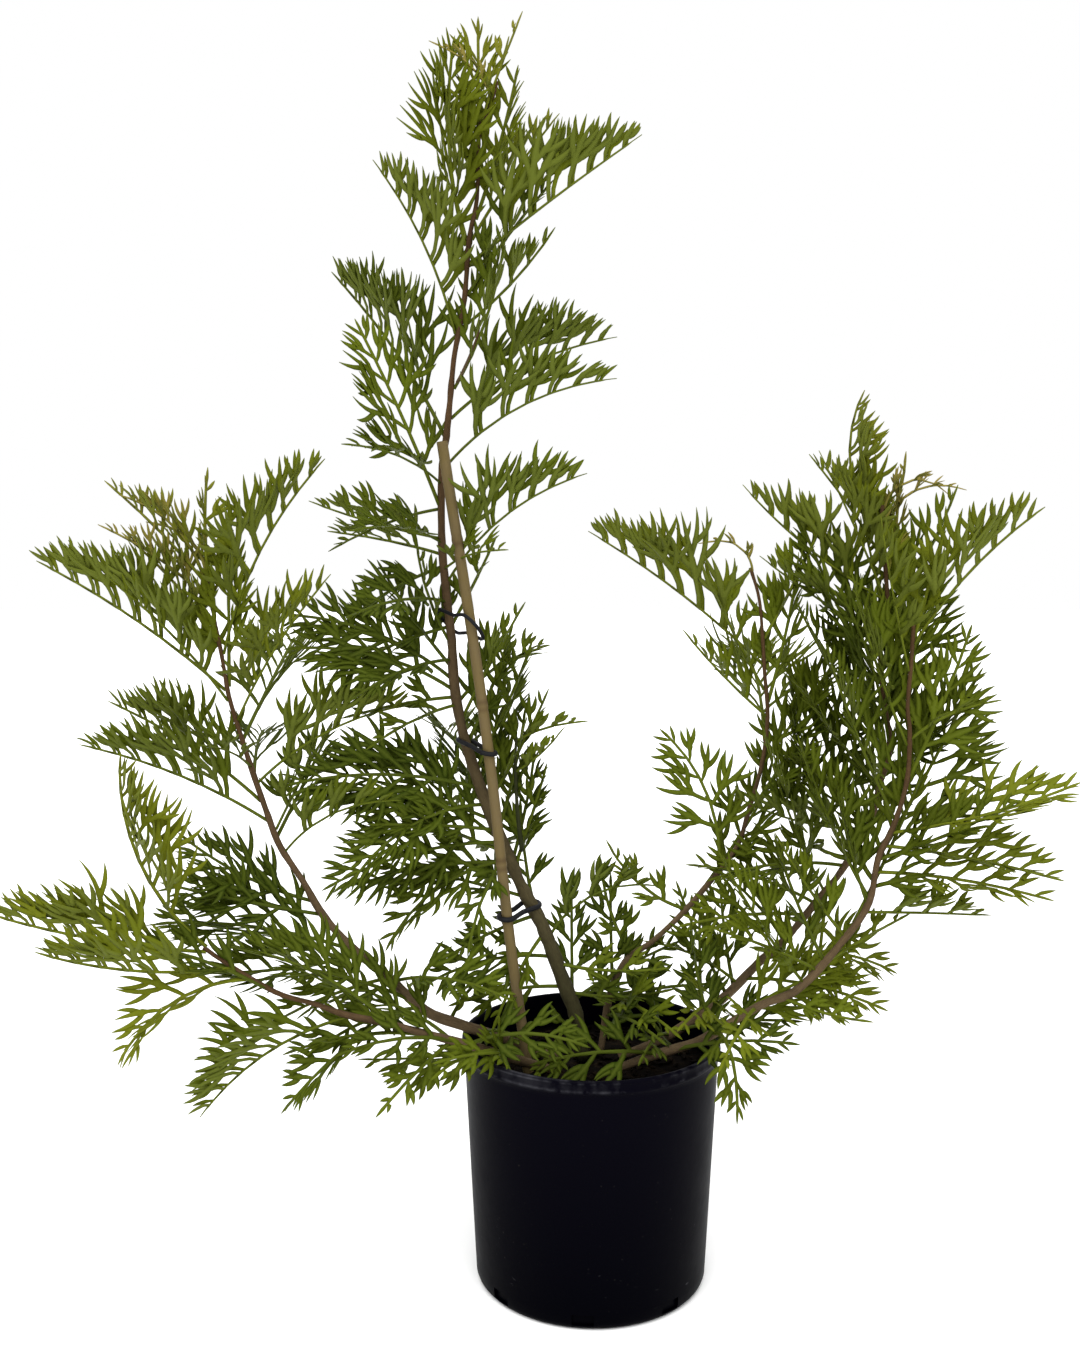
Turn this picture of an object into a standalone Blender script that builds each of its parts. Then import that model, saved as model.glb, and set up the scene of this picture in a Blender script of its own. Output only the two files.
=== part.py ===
# Potted fern-leaved shrub: a plastic nursery pot, potting mix, a staked leader,
# four side shoots and the leaves that set its outline. Metres, +Z up.
# The origin is the centre of the pot's underside; the front of the plant is -Y.
import math

import bmesh
import bpy
from mathutils import Vector

# Pot
RIM_RADIUS = 0.100
BASE_RADIUS = 0.0872
POT_HEIGHT = 0.192
WALL = 0.0022
FLOOR = 0.003
RIM_BAND = 0.010
NOTCH_COUNT = 8
NOTCH_WIDTH = 0.018
NOTCH_HEIGHT = 0.007
MIX_TOP = 0.166
GAP = 0.0004

# Stake
STAKE_RADIUS = 0.0044
STAKE_PATH = [(-0.0490, -0.018, 0.1672), (-0.0634, -0.017, 0.274), (-0.0753, -0.015, 0.385),
              (-0.0885, -0.014, 0.488), (-0.1060, -0.012, 0.602), (-0.1130, -0.012, 0.649)]

# Leaves
LEAF_THICKNESS = 0.0012
RACHIS_WIDTH = 0.0022
LOBE_WIDTH = 0.0058
LOBE_ANGLE = 48.0

# Each shoot: radius at its foot, radius at its tip, and the points it runs through.
SHOOTS = {
    "leader": (0.0058, 0.0012, [
        (-0.006, 0.006, 0.1680), (-0.012, 0.006, 0.205), (-0.022, 0.006, 0.232),
        (-0.035, 0.006, 0.268), (-0.043, 0.006, 0.286), (-0.053, 0.007, 0.304),
        (-0.064, 0.010, 0.328), (-0.082, 0.011, 0.372), (-0.099, 0.010, 0.425),
        (-0.106, 0.009, 0.464), (-0.108, 0.008, 0.499), (-0.112, 0.008, 0.537),
        (-0.115, 0.009, 0.574), (-0.115, 0.010, 0.626), (-0.111, 0.008, 0.655),
        (-0.108, 0.006, 0.681), (-0.105, 0.006, 0.711), (-0.100, 0.006, 0.738),
        (-0.096, 0.006, 0.762), (-0.093, 0.006, 0.800), (-0.087, 0.006, 0.830),
        (-0.085, 0.006, 0.878), (-0.078, 0.006, 0.894), (-0.072, 0.006, 0.914)]),
    "left": (0.0046, 0.0012, [
        (-0.026, 0.004, 0.1714), (-0.048, 0.000, 0.179), (-0.072, -0.005, 0.190),
        (-0.100, -0.009, 0.201), (-0.129, -0.010, 0.213), (-0.159, -0.010, 0.241),
        (-0.182, -0.010, 0.260), (-0.206, -0.010, 0.287), (-0.222, -0.010, 0.315),
        (-0.239, -0.010, 0.342), (-0.250, -0.010, 0.372), (-0.264, -0.010, 0.416),
        (-0.276, -0.010, 0.458), (-0.281, -0.010, 0.490), (-0.292, -0.010, 0.551)]),
    "low": (0.0044, 0.0014, [
        (-0.026, -0.028, 0.1712), (-0.048, -0.034, 0.180), (-0.071, -0.042, 0.190),
        (-0.093, -0.049, 0.200), (-0.118, -0.060, 0.211), (-0.151, -0.070, 0.224),
        (-0.180, -0.075, 0.232), (-0.202, -0.080, 0.242), (-0.231, -0.080, 0.251),
        (-0.267, -0.080, 0.273), (-0.282, -0.080, 0.284)]),
    "inner": (0.0038, 0.0011, [
        (0.008, 0.018, 0.1668), (0.015, 0.020, 0.212), (0.027, 0.020, 0.242),
        (0.049, 0.020, 0.259), (0.067, 0.020, 0.276), (0.085, 0.020, 0.296),
        (0.114, 0.020, 0.333), (0.123, 0.020, 0.360), (0.134, 0.020, 0.401),
        (0.138, 0.020, 0.438), (0.135, 0.020, 0.475), (0.133, 0.020, 0.503),
        (0.130, 0.020, 0.531), (0.123, 0.020, 0.555)]),
    "middle": (0.0040, 0.0012, [
        (0.022, 0.004, 0.1710), (0.045, 0.008, 0.178), (0.068, 0.012, 0.189),
        (0.105, 0.020, 0.212), (0.136, 0.020, 0.244), (0.153, 0.020, 0.259),
        (0.177, 0.020, 0.289), (0.198, 0.020, 0.316), (0.219, 0.020, 0.353),
        (0.227, 0.020, 0.386), (0.234, 0.020, 0.416), (0.228, 0.020, 0.455),
        (0.225, 0.020, 0.497), (0.230, 0.020, 0.522), (0.224, 0.020, 0.588),
        (0.224, 0.020, 0.603)]),
    "outer": (0.0040, 0.0012, [
        (0.014, -0.026, 0.1708), (0.036, -0.030, 0.181), (0.060, -0.032, 0.190),
        (0.084, -0.033, 0.199), (0.125, -0.040, 0.227), (0.155, -0.040, 0.241),
        (0.190, -0.040, 0.281), (0.206, -0.040, 0.307), (0.212, -0.040, 0.340),
        (0.223, -0.040, 0.365), (0.232, -0.040, 0.399), (0.233, -0.040, 0.436),
        (0.231, -0.040, 0.453), (0.233, -0.040, 0.489), (0.234, -0.040, 0.518)]),
}

# The two short twigs that fork from the leader, clear of its bark.
TWIGS = {
    "green_twig": (0.0020, 0.0010, [
        (-0.0540, 0.003, 0.336), (-0.0575, -0.002, 0.370), (-0.0590, -0.003, 0.408),
        (-0.0580, -0.003, 0.425)]),
    "top_twig": (0.0012, 0.0008, [
        (-0.1025, 0.003, 0.694), (-0.0970, 0.001, 0.704), (-0.0868, 0.000, 0.728),
        (-0.0852, 0.000, 0.740)]),
}

# Each leaf: name, shoot, height it leaves the shoot at, bearing and rise of the
# midrib at its base, bearing and rise at its tip (degrees; bearing 0 is +X and
# 90 is away from the front), length, tilt of the upper face towards the front,
# and how far the lobes fold up from the blade.
LEAVES = [
    ("leader_leaf_01", "leader", 0.795, 180, 75, 180, 101, 0.172, 85, 12),
    ("leader_leaf_02", "leader", 0.910, 350, 72, 350, 66, 0.050, 40, 35),
    ("leader_leaf_03", "leader", 0.782, 340, 34, 352, 37, 0.170, 12, 72),
    ("leader_leaf_04", "leader", 0.730, 196, 76, 186, 52, 0.142, 20, 62),
    ("leader_leaf_05", "leader", 0.736, 20, 38, 12, 55, 0.098, 25, 50),
    ("leader_leaf_06", "leader", 0.655, 142, 58, 166, 46, 0.162, 15, 72),
    ("leader_leaf_07", "leader", 0.603, 208, 67, 196, 62, 0.158, 80, 6),
    ("leader_leaf_08", "leader", 0.668, 28, 42, 8, 10, 0.150, 12, 72),
    ("leader_leaf_09", "leader", 0.632, 342, 46, 352, 10, 0.156, 12, 72),
    ("leader_leaf_10", "leader", 0.545, 340, 52, 350, 8, 0.146, 15, 66),
    ("leader_leaf_11", "leader", 0.578, 200, 22, 190, 38, 0.092, 20, 60),
    ("leader_leaf_12", "leader", 0.566, 150, 14, 160, 6, 0.095, 20, 55),
    ("leader_leaf_13", "leader", 0.470, 186, 40, 184, 2, 0.136, 70, 12),
    ("leader_leaf_14", "leader", 0.440, 350, 54, 345, 48, 0.104, 45, 40),
    ("leader_leaf_15", "leader", 0.452, 60, 30, 40, 8, 0.110, 10, 40),
    ("leader_leaf_16", "leader", 0.372, 205, 2, 196, -58, 0.124, 40, 20),
    ("leader_leaf_17", "leader", 0.345, 172, 36, 178, 46, 0.110, 70, 15),
    ("leader_leaf_18", "leader", 0.400, 110, 20, 100, -10, 0.130, 0, 35),
    ("leader_leaf_19", "leader", 0.267, 2, 60, 0, -6, 0.090, 10, 74),
    ("left_leaf_01", "left", 0.463, 184, 43, 180, 27, 0.188, 12, 74),
    ("left_leaf_02", "left", 0.546, 178, 76, 182, 18, 0.098, 20, 55),
    ("left_leaf_03", "left", 0.490, 352, 76, 0, 46, 0.172, 30, 55),
    ("left_leaf_04", "left", 0.440, 330, 60, 345, 46, 0.134, 30, 45),
    ("left_leaf_05", "left", 0.363, 186, 34, 182, 12, 0.168, 12, 74),
    ("left_leaf_06", "left", 0.395, 168, 52, 172, 30, 0.140, 15, 70),
    ("left_leaf_07", "left", 0.392, 10, 44, 4, 8, 0.130, 12, 74),
    ("left_leaf_08", "left", 0.338, 345, 50, 352, 2, 0.104, 12, 70),
    ("left_leaf_09", "left", 0.300, 165, 10, 180, 40, 0.115, 50, 25),
    ("left_leaf_10", "left", 0.425, 80, 34, 90, 14, 0.165, 0, 35),
    ("low_leaf_01", "low", 0.282, 182, 4, 180, 17, 0.152, 14, 74),
    ("low_leaf_02", "low", 0.270, 212, 2, 190, 20, 0.130, 12, 60),
    ("low_leaf_03", "low", 0.278, 160, 62, 176, 88, 0.140, 60, 30),
    ("low_leaf_04", "low", 0.232, 186, -14, 184, -54, 0.134, 10, 70),
    ("inner_leaf_01", "inner", 0.480, 176, 44, 180, 30, 0.168, 12, 72),
    ("inner_leaf_02", "inner", 0.440, 190, 40, 182, 50, 0.104, 30, 40),
    ("inner_leaf_03", "inner", 0.318, 0, 88, 0, 138, 0.135, 80, 10),
    ("inner_leaf_04", "inner", 0.420, 84, 34, 92, 10, 0.160, 0, 35),
    ("middle_leaf_01", "middle", 0.530, 170, 28, 176, 46, 0.150, 12, 70),
    ("middle_leaf_02", "middle", 0.580, 178, 68, 182, 116, 0.140, 40, 45),
    ("middle_leaf_03", "middle", 0.420, 222, 74, 196, 58, 0.124, 80, 8),
    ("middle_leaf_04", "middle", 0.350, 196, 2, 188, 30, 0.115, 10, 50),
    ("middle_leaf_05", "middle", 0.300, 250, -60, 240, -70, 0.095, 40, 25),
    ("middle_leaf_06", "middle", 0.450, 60, 45, 70, 30, 0.130, 0, 35),
    ("outer_leaf_01", "outer", 0.500, 352, 60, 0, 35, 0.132, 12, 70),
    ("outer_leaf_02", "outer", 0.360, 350, 10, 356, 24, 0.148, 30, 20),
    ("outer_leaf_03", "outer", 0.330, 335, -4, 345, -26, 0.130, 30, 25),
]


def directionOf(bearing, rise):
    b = math.radians(bearing)
    r = math.radians(rise)
    return Vector((math.cos(r) * math.cos(b), math.cos(r) * math.sin(b), math.sin(r)))


def smoothPath(points, steps):
    pts = [Vector(p) for p in points]
    ends = [2 * pts[0] - pts[1]] + pts + [2 * pts[-1] - pts[-2]]
    out = []
    for i in range(1, len(ends) - 2):
        p0, p1, p2, p3 = ends[i - 1], ends[i], ends[i + 1], ends[i + 2]
        for k in range(steps):
            t = k / steps
            out.append(0.5 * (2 * p1 + (p2 - p0) * t + (2 * p0 - 5 * p1 + 4 * p2 - p3) * t * t
                              + (3 * p1 - p0 - 3 * p2 + p3) * t * t * t))
    out.append(pts[-1])
    return out


def pointAtHeight(points, height):
    for low, high in zip(points[:-1], points[1:]):
        if low.z <= height <= high.z:
            t = (height - low.z) / (high.z - low.z)
            return low.lerp(high, t), (high - low).normalized()
    return points[-1].copy(), (points[-1] - points[-2]).normalized()


def radiusAt(footRadius, tipRadius, points, height):
    t = (height - points[0].z) / (points[-1].z - points[0].z)
    return footRadius + (tipRadius - footRadius) * min(1.0, max(0.0, t))


def makeMaterial(name, colour, roughness):
    material = bpy.data.materials.new(name)
    material.use_nodes = True
    shader = material.node_tree.nodes["Principled BSDF"]
    shader.inputs["Base Color"].default_value = (*colour, 1.0)
    shader.inputs["Roughness"].default_value = roughness
    material.diffuse_color = (*colour, 1.0)
    return material


def addMesh(name, bm, material, smooth=False):
    mesh = bpy.data.meshes.new(name)
    bm.to_mesh(mesh)
    bm.free()
    mesh.materials.append(material)
    if smooth:
        mesh.shade_smooth()
        mesh.set_sharp_from_angle(angle=math.radians(35))
    obj = bpy.data.objects.new(name, mesh)
    bpy.context.scene.collection.objects.link(obj)
    return obj


def addTube(name, points, radii, thickness, material, cyclic=False):
    curve = bpy.data.curves.new(name, "CURVE")
    curve.dimensions = "3D"
    curve.bevel_depth = thickness
    curve.bevel_resolution = 2
    curve.use_fill_caps = not cyclic
    spline = curve.splines.new("POLY")
    spline.points.add(len(points) - 1)
    for point, place, radius in zip(spline.points, points, radii):
        point.co = (*place, 1.0)
        point.radius = radius
    spline.use_cyclic_u = cyclic
    spline.use_smooth = True
    curve.materials.append(material)
    obj = bpy.data.objects.new(name, curve)
    bpy.context.scene.collection.objects.link(obj)
    return obj


def turned(profile, sides):
    bm = bmesh.new()
    verts = [bm.verts.new((r, 0.0, z)) for r, z in profile]
    edges = [bm.edges.new(pair) for pair in zip(verts[:-1], verts[1:])]
    bmesh.ops.spin(bm, geom=verts + edges, cent=(0, 0, 0), axis=(0, 0, 1),
                   angle=2 * math.pi, steps=sides, use_merge=True)
    bmesh.ops.remove_doubles(bm, verts=bm.verts, dist=1e-6)
    bmesh.ops.recalc_face_normals(bm, faces=bm.faces)
    return bm


# The pot: a tapered shell with a rolled rim band, cut by notches for drainage.
def makePot(material):
    rimInner = RIM_RADIUS - 0.0036
    taper = (RIM_RADIUS - 0.0012 - BASE_RADIUS) / POT_HEIGHT
    bandZ = POT_HEIGHT - RIM_BAND
    profile = [
        (0.0, 0.0), (BASE_RADIUS - 0.004, 0.0), (BASE_RADIUS, 0.004),
        (BASE_RADIUS + taper * bandZ, bandZ), (RIM_RADIUS, bandZ + 0.001),
        (RIM_RADIUS, POT_HEIGHT - 0.0008), (RIM_RADIUS - 0.0008, POT_HEIGHT),
        (rimInner, POT_HEIGHT), (BASE_RADIUS + taper * bandZ - WALL, bandZ - 0.003),
        (BASE_RADIUS - WALL, FLOOR + 0.004), (BASE_RADIUS - WALL - 0.004, FLOOR), (0.0, FLOOR)]
    pot = addMesh("pot", turned(profile, 48), material, smooth=True)
    for i in range(NOTCH_COUNT):
        angle = 2 * math.pi * (i + 0.5) / NOTCH_COUNT
        bm = bmesh.new()
        bmesh.ops.create_cube(bm, size=1.0)
        bmesh.ops.scale(bm, vec=(0.010, NOTCH_WIDTH, NOTCH_HEIGHT), verts=bm.verts)
        cutter = addMesh(f"notch_cutter_{i + 1:02d}", bm, material)
        cutter.location = ((BASE_RADIUS - 0.0005) * math.cos(angle),
                           (BASE_RADIUS - 0.0005) * math.sin(angle), NOTCH_HEIGHT / 2 + 0.0022)
        cutter.rotation_euler = (0, 0, angle)
        cutter.hide_render = True
        cutter.display_type = "WIRE"
        cut = pot.modifiers.new(f"notch_{i + 1:02d}", "BOOLEAN")
        cut.operation = "DIFFERENCE"
        cut.solver = "EXACT"
        cut.object = cutter
    return taper


# The potting mix fills the pot up to a clear watering space under the rim.
def makeMix(taper, material):
    foot = BASE_RADIUS - 0.012
    low = BASE_RADIUS + taper * 0.020 - WALL - 0.0010
    top = BASE_RADIUS + taper * MIX_TOP - WALL - 0.0010
    profile = [(0.0, FLOOR + GAP), (foot, FLOOR + GAP), (low, 0.020),
               (top, MIX_TOP - 0.001), (top - 0.004, MIX_TOP), (0.0, MIX_TOP)]
    addMesh("potting_mix", turned(profile, 48), material, smooth=True)


# A leaf: a slender midrib with opposite lobes, one closed sheet bent along its run.
def makeLeaf(name, foot, start, end, length, tilt, fold, material):
    pairs = max(3, min(5, round(length / 0.031)))
    steps = 40
    frames = []
    place = foot.copy()
    for k in range(steps + 1):
        t = k / steps
        bearing = start[0] + ((end[0] - start[0] + 180) % 360 - 180) * t
        forward = directionOf(bearing, start[1] + (end[1] - start[1]) * t)
        b = math.radians(bearing)
        right = Vector((math.sin(b), -math.cos(b), 0.0))
        normal = right.cross(forward)
        turn = math.radians(tilt if right.y < 0 else -tilt)
        up = normal * math.cos(turn) + right * math.sin(turn)
        side = right * math.cos(turn) - normal * math.sin(turn)
        frames.append((place.copy(), forward, side, up))
        place += forward * (length / steps)

    def at(t, along, across, raised):
        place, forward, side, up = frames[round(t * steps)]
        lift = math.radians(raised)
        return place + forward * along + side * across * math.cos(lift) + up * abs(across) * math.sin(lift)

    bm = bmesh.new()

    def strip(stations, fold):
        rows = [[bm.verts.new(at(t, a, c, fold)) for a, c in row] for t, row in stations]
        for one, two in zip(rows[:-1], rows[1:]):
            bm.faces.new((one[0], one[1], two[1], two[0]))
        return rows

    half = RACHIS_WIDTH / 2
    stations = [0.0, 0.09]
    for i in range(pairs):
        t = 0.18 + 0.70 * i / (pairs - 1)
        stations += [t, t + 0.10 * 5 / pairs * 0.5]
    stations.append(1.0)
    rows = strip([(t, [(0, -half), (0, half)]) for t in stations], 0)
    for i in range(pairs):
        t = stations[2 + 2 * i]
        reach = length * 0.31 * (1.0 - 0.55 * (i / (pairs - 1)) ** 1.6)
        lean = math.radians(LOBE_ANGLE)
        for hand in (0, 1):
            sign = -1 if hand == 0 else 1
            root = (rows[2 + 2 * i][hand], rows[3 + 2 * i][hand])
            rings = [root]
            for part, width in ((0.45, LOBE_WIDTH), (1.0, 0.0016)):
                u = reach * part * math.cos(lean)
                v = reach * part * math.sin(lean) + half
                du = width / 2 * math.sin(lean)
                dv = width / 2 * math.cos(lean)
                back = bm.verts.new(at(t, u - du, sign * (v + dv), fold))
                front = bm.verts.new(at(t, u + du, sign * (v - dv), fold))
                rings.append((back, front))
            for one, two in zip(rings[:-1], rings[1:]):
                bm.faces.new((one[0], one[1], two[1], two[0]))
    bmesh.ops.recalc_face_normals(bm, faces=bm.faces)
    bmesh.ops.solidify(bm, geom=bm.faces[:], thickness=LEAF_THICKNESS)
    bmesh.ops.recalc_face_normals(bm, faces=bm.faces)
    return addMesh(name, bm, material)


# A ring of tube round two upright members, in a tilted flat loop.
def makeTie(name, first, second, clear, tube, tilt, material):
    a, b = Vector(first), Vector(second)
    along = (b - a).normalized()
    across = along.cross(Vector((0, 0, 1))).normalized()
    points = []
    for k in range(9):
        angle = math.pi / 2 + math.pi * k / 8
        points.append(a + clear * (along * math.cos(angle) + across * math.sin(angle)))
    for k in range(9):
        angle = -math.pi / 2 + math.pi * k / 8
        points.append(b + clear * (along * math.cos(angle) + across * math.sin(angle)))
    middle = (a + b) / 2
    for p in points:
        p.z += (p - middle).dot(across) * tilt
    addTube(name, points, [1.0] * len(points), tube, material, cyclic=True)


for old in list(bpy.data.objects):
    bpy.data.objects.remove(old, do_unlink=True)

potPlastic = makeMaterial("pot_plastic", (0.008, 0.008, 0.012), 0.35)
mixEarth = makeMaterial("potting_mix_bark", (0.025, 0.016, 0.010), 0.95)
bambooCane = makeMaterial("bamboo", (0.36, 0.27, 0.15), 0.6)
tiePlastic = makeMaterial("tie_plastic", (0.01, 0.01, 0.01), 0.4)
stemBark = makeMaterial("stem_bark", (0.16, 0.09, 0.05), 0.75)
leafGreen = makeMaterial("leaf_green", (0.07, 0.13, 0.02), 0.5)

potTaper = makePot(potPlastic)
makeMix(potTaper, mixEarth)

stakePath = smoothPath(STAKE_PATH, 2)
addTube("bamboo_stake", stakePath, [1.0] * len(stakePath), STAKE_RADIUS, bambooCane)

shootPaths = {}
for shoot, (footRadius, tipRadius, points) in list(SHOOTS.items()) + list(TWIGS.items()):
    path = smoothPath(points, 1 if len(points) > 8 else 2)
    shootPaths[shoot] = (footRadius, tipRadius, path)
    radii = [radiusAt(footRadius, tipRadius, path, p.z) / footRadius for p in path]
    stemName = shoot if shoot in TWIGS else f"{shoot}_stem"
    addTube(stemName, path, radii, footRadius, stemBark)

for name, shoot, height, bearing, rise, tipBearing, tipRise, length, tilt, fold in LEAVES:
    footRadius, tipRadius, path = shootPaths[shoot]
    joint, run = pointAtHeight(path, height)
    out = directionOf(bearing, rise)
    out = (out - run * out.dot(run)).normalized()
    radius = radiusAt(footRadius, tipRadius, path, height)
    foot = joint + out * (radius + RACHIS_WIDTH / 2 + 0.0008)
    makeLeaf(name, foot, (bearing, rise), (tipBearing, tipRise), length, tilt, fold, leafGreen)

makeTie("upper_tie", (-0.1095, 0.0082, 0.512), (-0.0915, -0.0138, 0.512), 0.0080, 0.0012, 1.10, tiePlastic)
makeTie("middle_tie", (-0.0975, 0.0102, 0.418), (-0.0798, -0.0147, 0.418), 0.0076, 0.0013, 0.20, tiePlastic)
makeTie("lower_tie", (-0.0452, 0.0062, 0.290), (-0.0650, -0.0158, 0.290), 0.0082, 0.0013, -0.20, tiePlastic)
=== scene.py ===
import math
import random

import bmesh
import bpy
from mathutils import Matrix, Vector, noise


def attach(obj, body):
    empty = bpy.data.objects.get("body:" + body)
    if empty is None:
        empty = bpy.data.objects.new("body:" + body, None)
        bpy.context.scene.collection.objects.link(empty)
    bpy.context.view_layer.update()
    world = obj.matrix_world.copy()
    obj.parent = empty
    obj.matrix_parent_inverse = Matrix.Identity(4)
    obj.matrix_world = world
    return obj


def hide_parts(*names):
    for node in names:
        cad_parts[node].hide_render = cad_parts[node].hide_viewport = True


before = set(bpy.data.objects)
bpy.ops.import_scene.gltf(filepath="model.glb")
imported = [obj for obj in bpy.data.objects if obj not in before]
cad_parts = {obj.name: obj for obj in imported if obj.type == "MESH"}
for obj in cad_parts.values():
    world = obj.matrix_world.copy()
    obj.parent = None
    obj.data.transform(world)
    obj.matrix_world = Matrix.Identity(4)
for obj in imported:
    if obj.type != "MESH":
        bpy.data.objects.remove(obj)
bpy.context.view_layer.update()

# Camera, floor and soft studio light

cameraSetup = {"place": (-0.040, -1.04, 0.568), "downTilt": 5.2, "lens": 36.4}

cameraData = bpy.data.cameras.new("studioCamera")
cameraData.lens = cameraSetup["lens"]
cameraData.sensor_width = 36.0
cameraData.sensor_fit = "AUTO"
cameraData.clip_end = 50.0
camera = bpy.data.objects.new("studioCamera", cameraData)
camera.location = cameraSetup["place"]
camera.rotation_euler = (math.radians(90.0 - cameraSetup["downTilt"]), 0.0, 0.0)
bpy.context.scene.collection.objects.link(camera)
bpy.context.scene.camera = camera

# Suns: bearing, rise and strength.
lightSetup = {
    "worldStrength": 1.0, "softness": 50.0,
    "suns": {"keyLight": (245, 58, 2.6), "fillLight": (320, 35, 0.7), "backLight": (80, 62, 0.9)},
}

world = bpy.data.worlds.new("studioWorld")
world.use_nodes = True
background = world.node_tree.nodes["Background"]
background.inputs["Color"].default_value = (1.0, 1.0, 1.0, 1.0)
background.inputs["Strength"].default_value = lightSetup["worldStrength"]
bpy.context.scene.world = world
bpy.context.scene.view_settings.view_transform = "Standard"


def addSoftLight(name, bearing, rise, strength):
    data = bpy.data.lights.new(name, "SUN")
    data.angle = math.radians(lightSetup["softness"])
    data.energy = strength
    lamp = bpy.data.objects.new(name, data)
    b, r = math.radians(bearing), math.radians(rise)
    towards = Vector((math.cos(r) * math.cos(b), math.cos(r) * math.sin(b), math.sin(r)))
    lamp.location = towards * 2.5
    lamp.rotation_euler = towards.to_track_quat("Z", "Y").to_euler()
    bpy.context.scene.collection.objects.link(lamp)


for name, values in lightSetup["suns"].items():
    addSoftLight(name, *values)


# Material helpers

def newMaterial(name, values):
    material = bpy.data.materials.new(name)
    material.use_nodes = True
    shader = material.node_tree.nodes["Principled BSDF"]
    for socket, value in values.items():
        shader.inputs[socket].default_value = value
    return material, material.node_tree, shader


def addNode(tree, kind, inputs=None, **settings):
    node = tree.nodes.new(kind)
    for key, value in settings.items():
        setattr(node, key, value)
    for key, value in (inputs or {}).items():
        if isinstance(value, bpy.types.NodeSocket):
            tree.links.new(value, node.inputs[key])
        else:
            node.inputs[key].default_value = value
    return node


def mixColours(tree, factor, first, second, blend="MIX"):
    inputs = {0: factor, 6: first, 7: second}
    return addNode(tree, "ShaderNodeMix", inputs, data_type="RGBA", blend_type=blend).outputs[2]


def maths(tree, operation, first, second, clamp=False):
    inputs = {0: first, 1: second}
    return addNode(tree, "ShaderNodeMath", inputs, operation=operation, use_clamp=clamp).outputs[0]


def ramp(tree, factor, stops):
    node = tree.nodes.new("ShaderNodeValToRGB")
    while len(node.color_ramp.elements) < len(stops):
        node.color_ramp.elements.new(1.0)
    for element, (place, colour) in zip(node.color_ramp.elements, stops):
        element.position = place
        element.color = colour
    tree.links.new(factor, node.inputs[0])
    return node.outputs[0]


def grey(level):
    return (level, level, level, 1.0)


# Shared fine mottling: a mask from two sizes of noise on Object coordinates.
def buildMottleGroup():
    group = bpy.data.node_groups.new("mottle", "ShaderNodeTree")
    group.interface.new_socket("Scale", in_out="INPUT", socket_type="NodeSocketFloat")
    group.interface.new_socket("Mask", in_out="OUTPUT", socket_type="NodeSocketFloat")
    start = group.nodes.new("NodeGroupInput")
    end = group.nodes.new("NodeGroupOutput")
    coords = group.nodes.new("ShaderNodeTexCoord").outputs["Object"]
    broad = addNode(group, "ShaderNodeTexNoise", {"Vector": coords, "Scale": start.outputs[0], "Detail": 4.0})
    fineScale = maths(group, "MULTIPLY", start.outputs[0], 5.3)
    fine = addNode(group, "ShaderNodeTexNoise", {"Vector": coords, "Scale": fineScale, "Detail": 3.0})
    both = maths(group, "ADD", maths(group, "MULTIPLY", broad.outputs[0], 0.65),
                 maths(group, "MULTIPLY", fine.outputs[0], 0.35))
    group.links.new(both, end.inputs[0])
    return group


mottleGroup = buildMottleGroup()


def addMottle(tree, scale):
    return addNode(tree, "ShaderNodeGroup", {"Scale": scale}, node_tree=mottleGroup).outputs["Mask"]


# Reads a value that the mesh carries.
def attribute(tree, name, output="Fac"):
    return addNode(tree, "ShaderNodeAttribute", attribute_name=name).outputs[output]


# A mask that goes from 0 to 1 as the value goes from low to high.
def remap(tree, value, low, high):
    return addNode(tree, "ShaderNodeMapRange", {"Value": value, "From Min": low, "From Max": high}).outputs[0]


def times(tree, first, second, clamp=False):
    return maths(tree, "MULTIPLY", first, second, clamp)


# Mottled noise whose grain is stretched along a piece by its wrap coordinates.
def stretchedNoise(tree, stretch, scale, detail):
    uv = addNode(tree, "ShaderNodeUVMap", uv_map="wrap").outputs[0]
    stretched = addNode(tree, "ShaderNodeMapping", {"Vector": uv, "Scale": stretch}).outputs[0]
    grain = addNode(tree, "ShaderNodeTexNoise", {"Vector": stretched, "Scale": scale, "Detail": detail})
    return grain.outputs[0]


# Links the colour, the roughness (mask, value at 0, span) and the bump (height, strength, distance).
def finishMaterial(tree, shader, base, roughness, bump):
    mask, low, span = roughness
    height, strength, distance = bump
    tree.links.new(base, shader.inputs["Base Color"])
    tree.links.new(maths(tree, "ADD", low, times(tree, mask, span)), shader.inputs["Roughness"])
    node = addNode(tree, "ShaderNodeBump", {"Height": height, "Strength": strength, "Distance": distance})
    tree.links.new(node.outputs[0], shader.inputs["Normal"])


leafColours = {
    "newest": (0.230, 0.175, 0.045, 1.0),
    "young": (0.122, 0.136, 0.006, 1.0),
    "grown": (0.062, 0.080, 0.0030, 1.0),
    "old": (0.016, 0.028, 0.0018, 1.0),
    "under": (0.086, 0.104, 0.018, 1.0),
    "vein": (0.125, 0.150, 0.020, 1.0),
}


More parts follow.
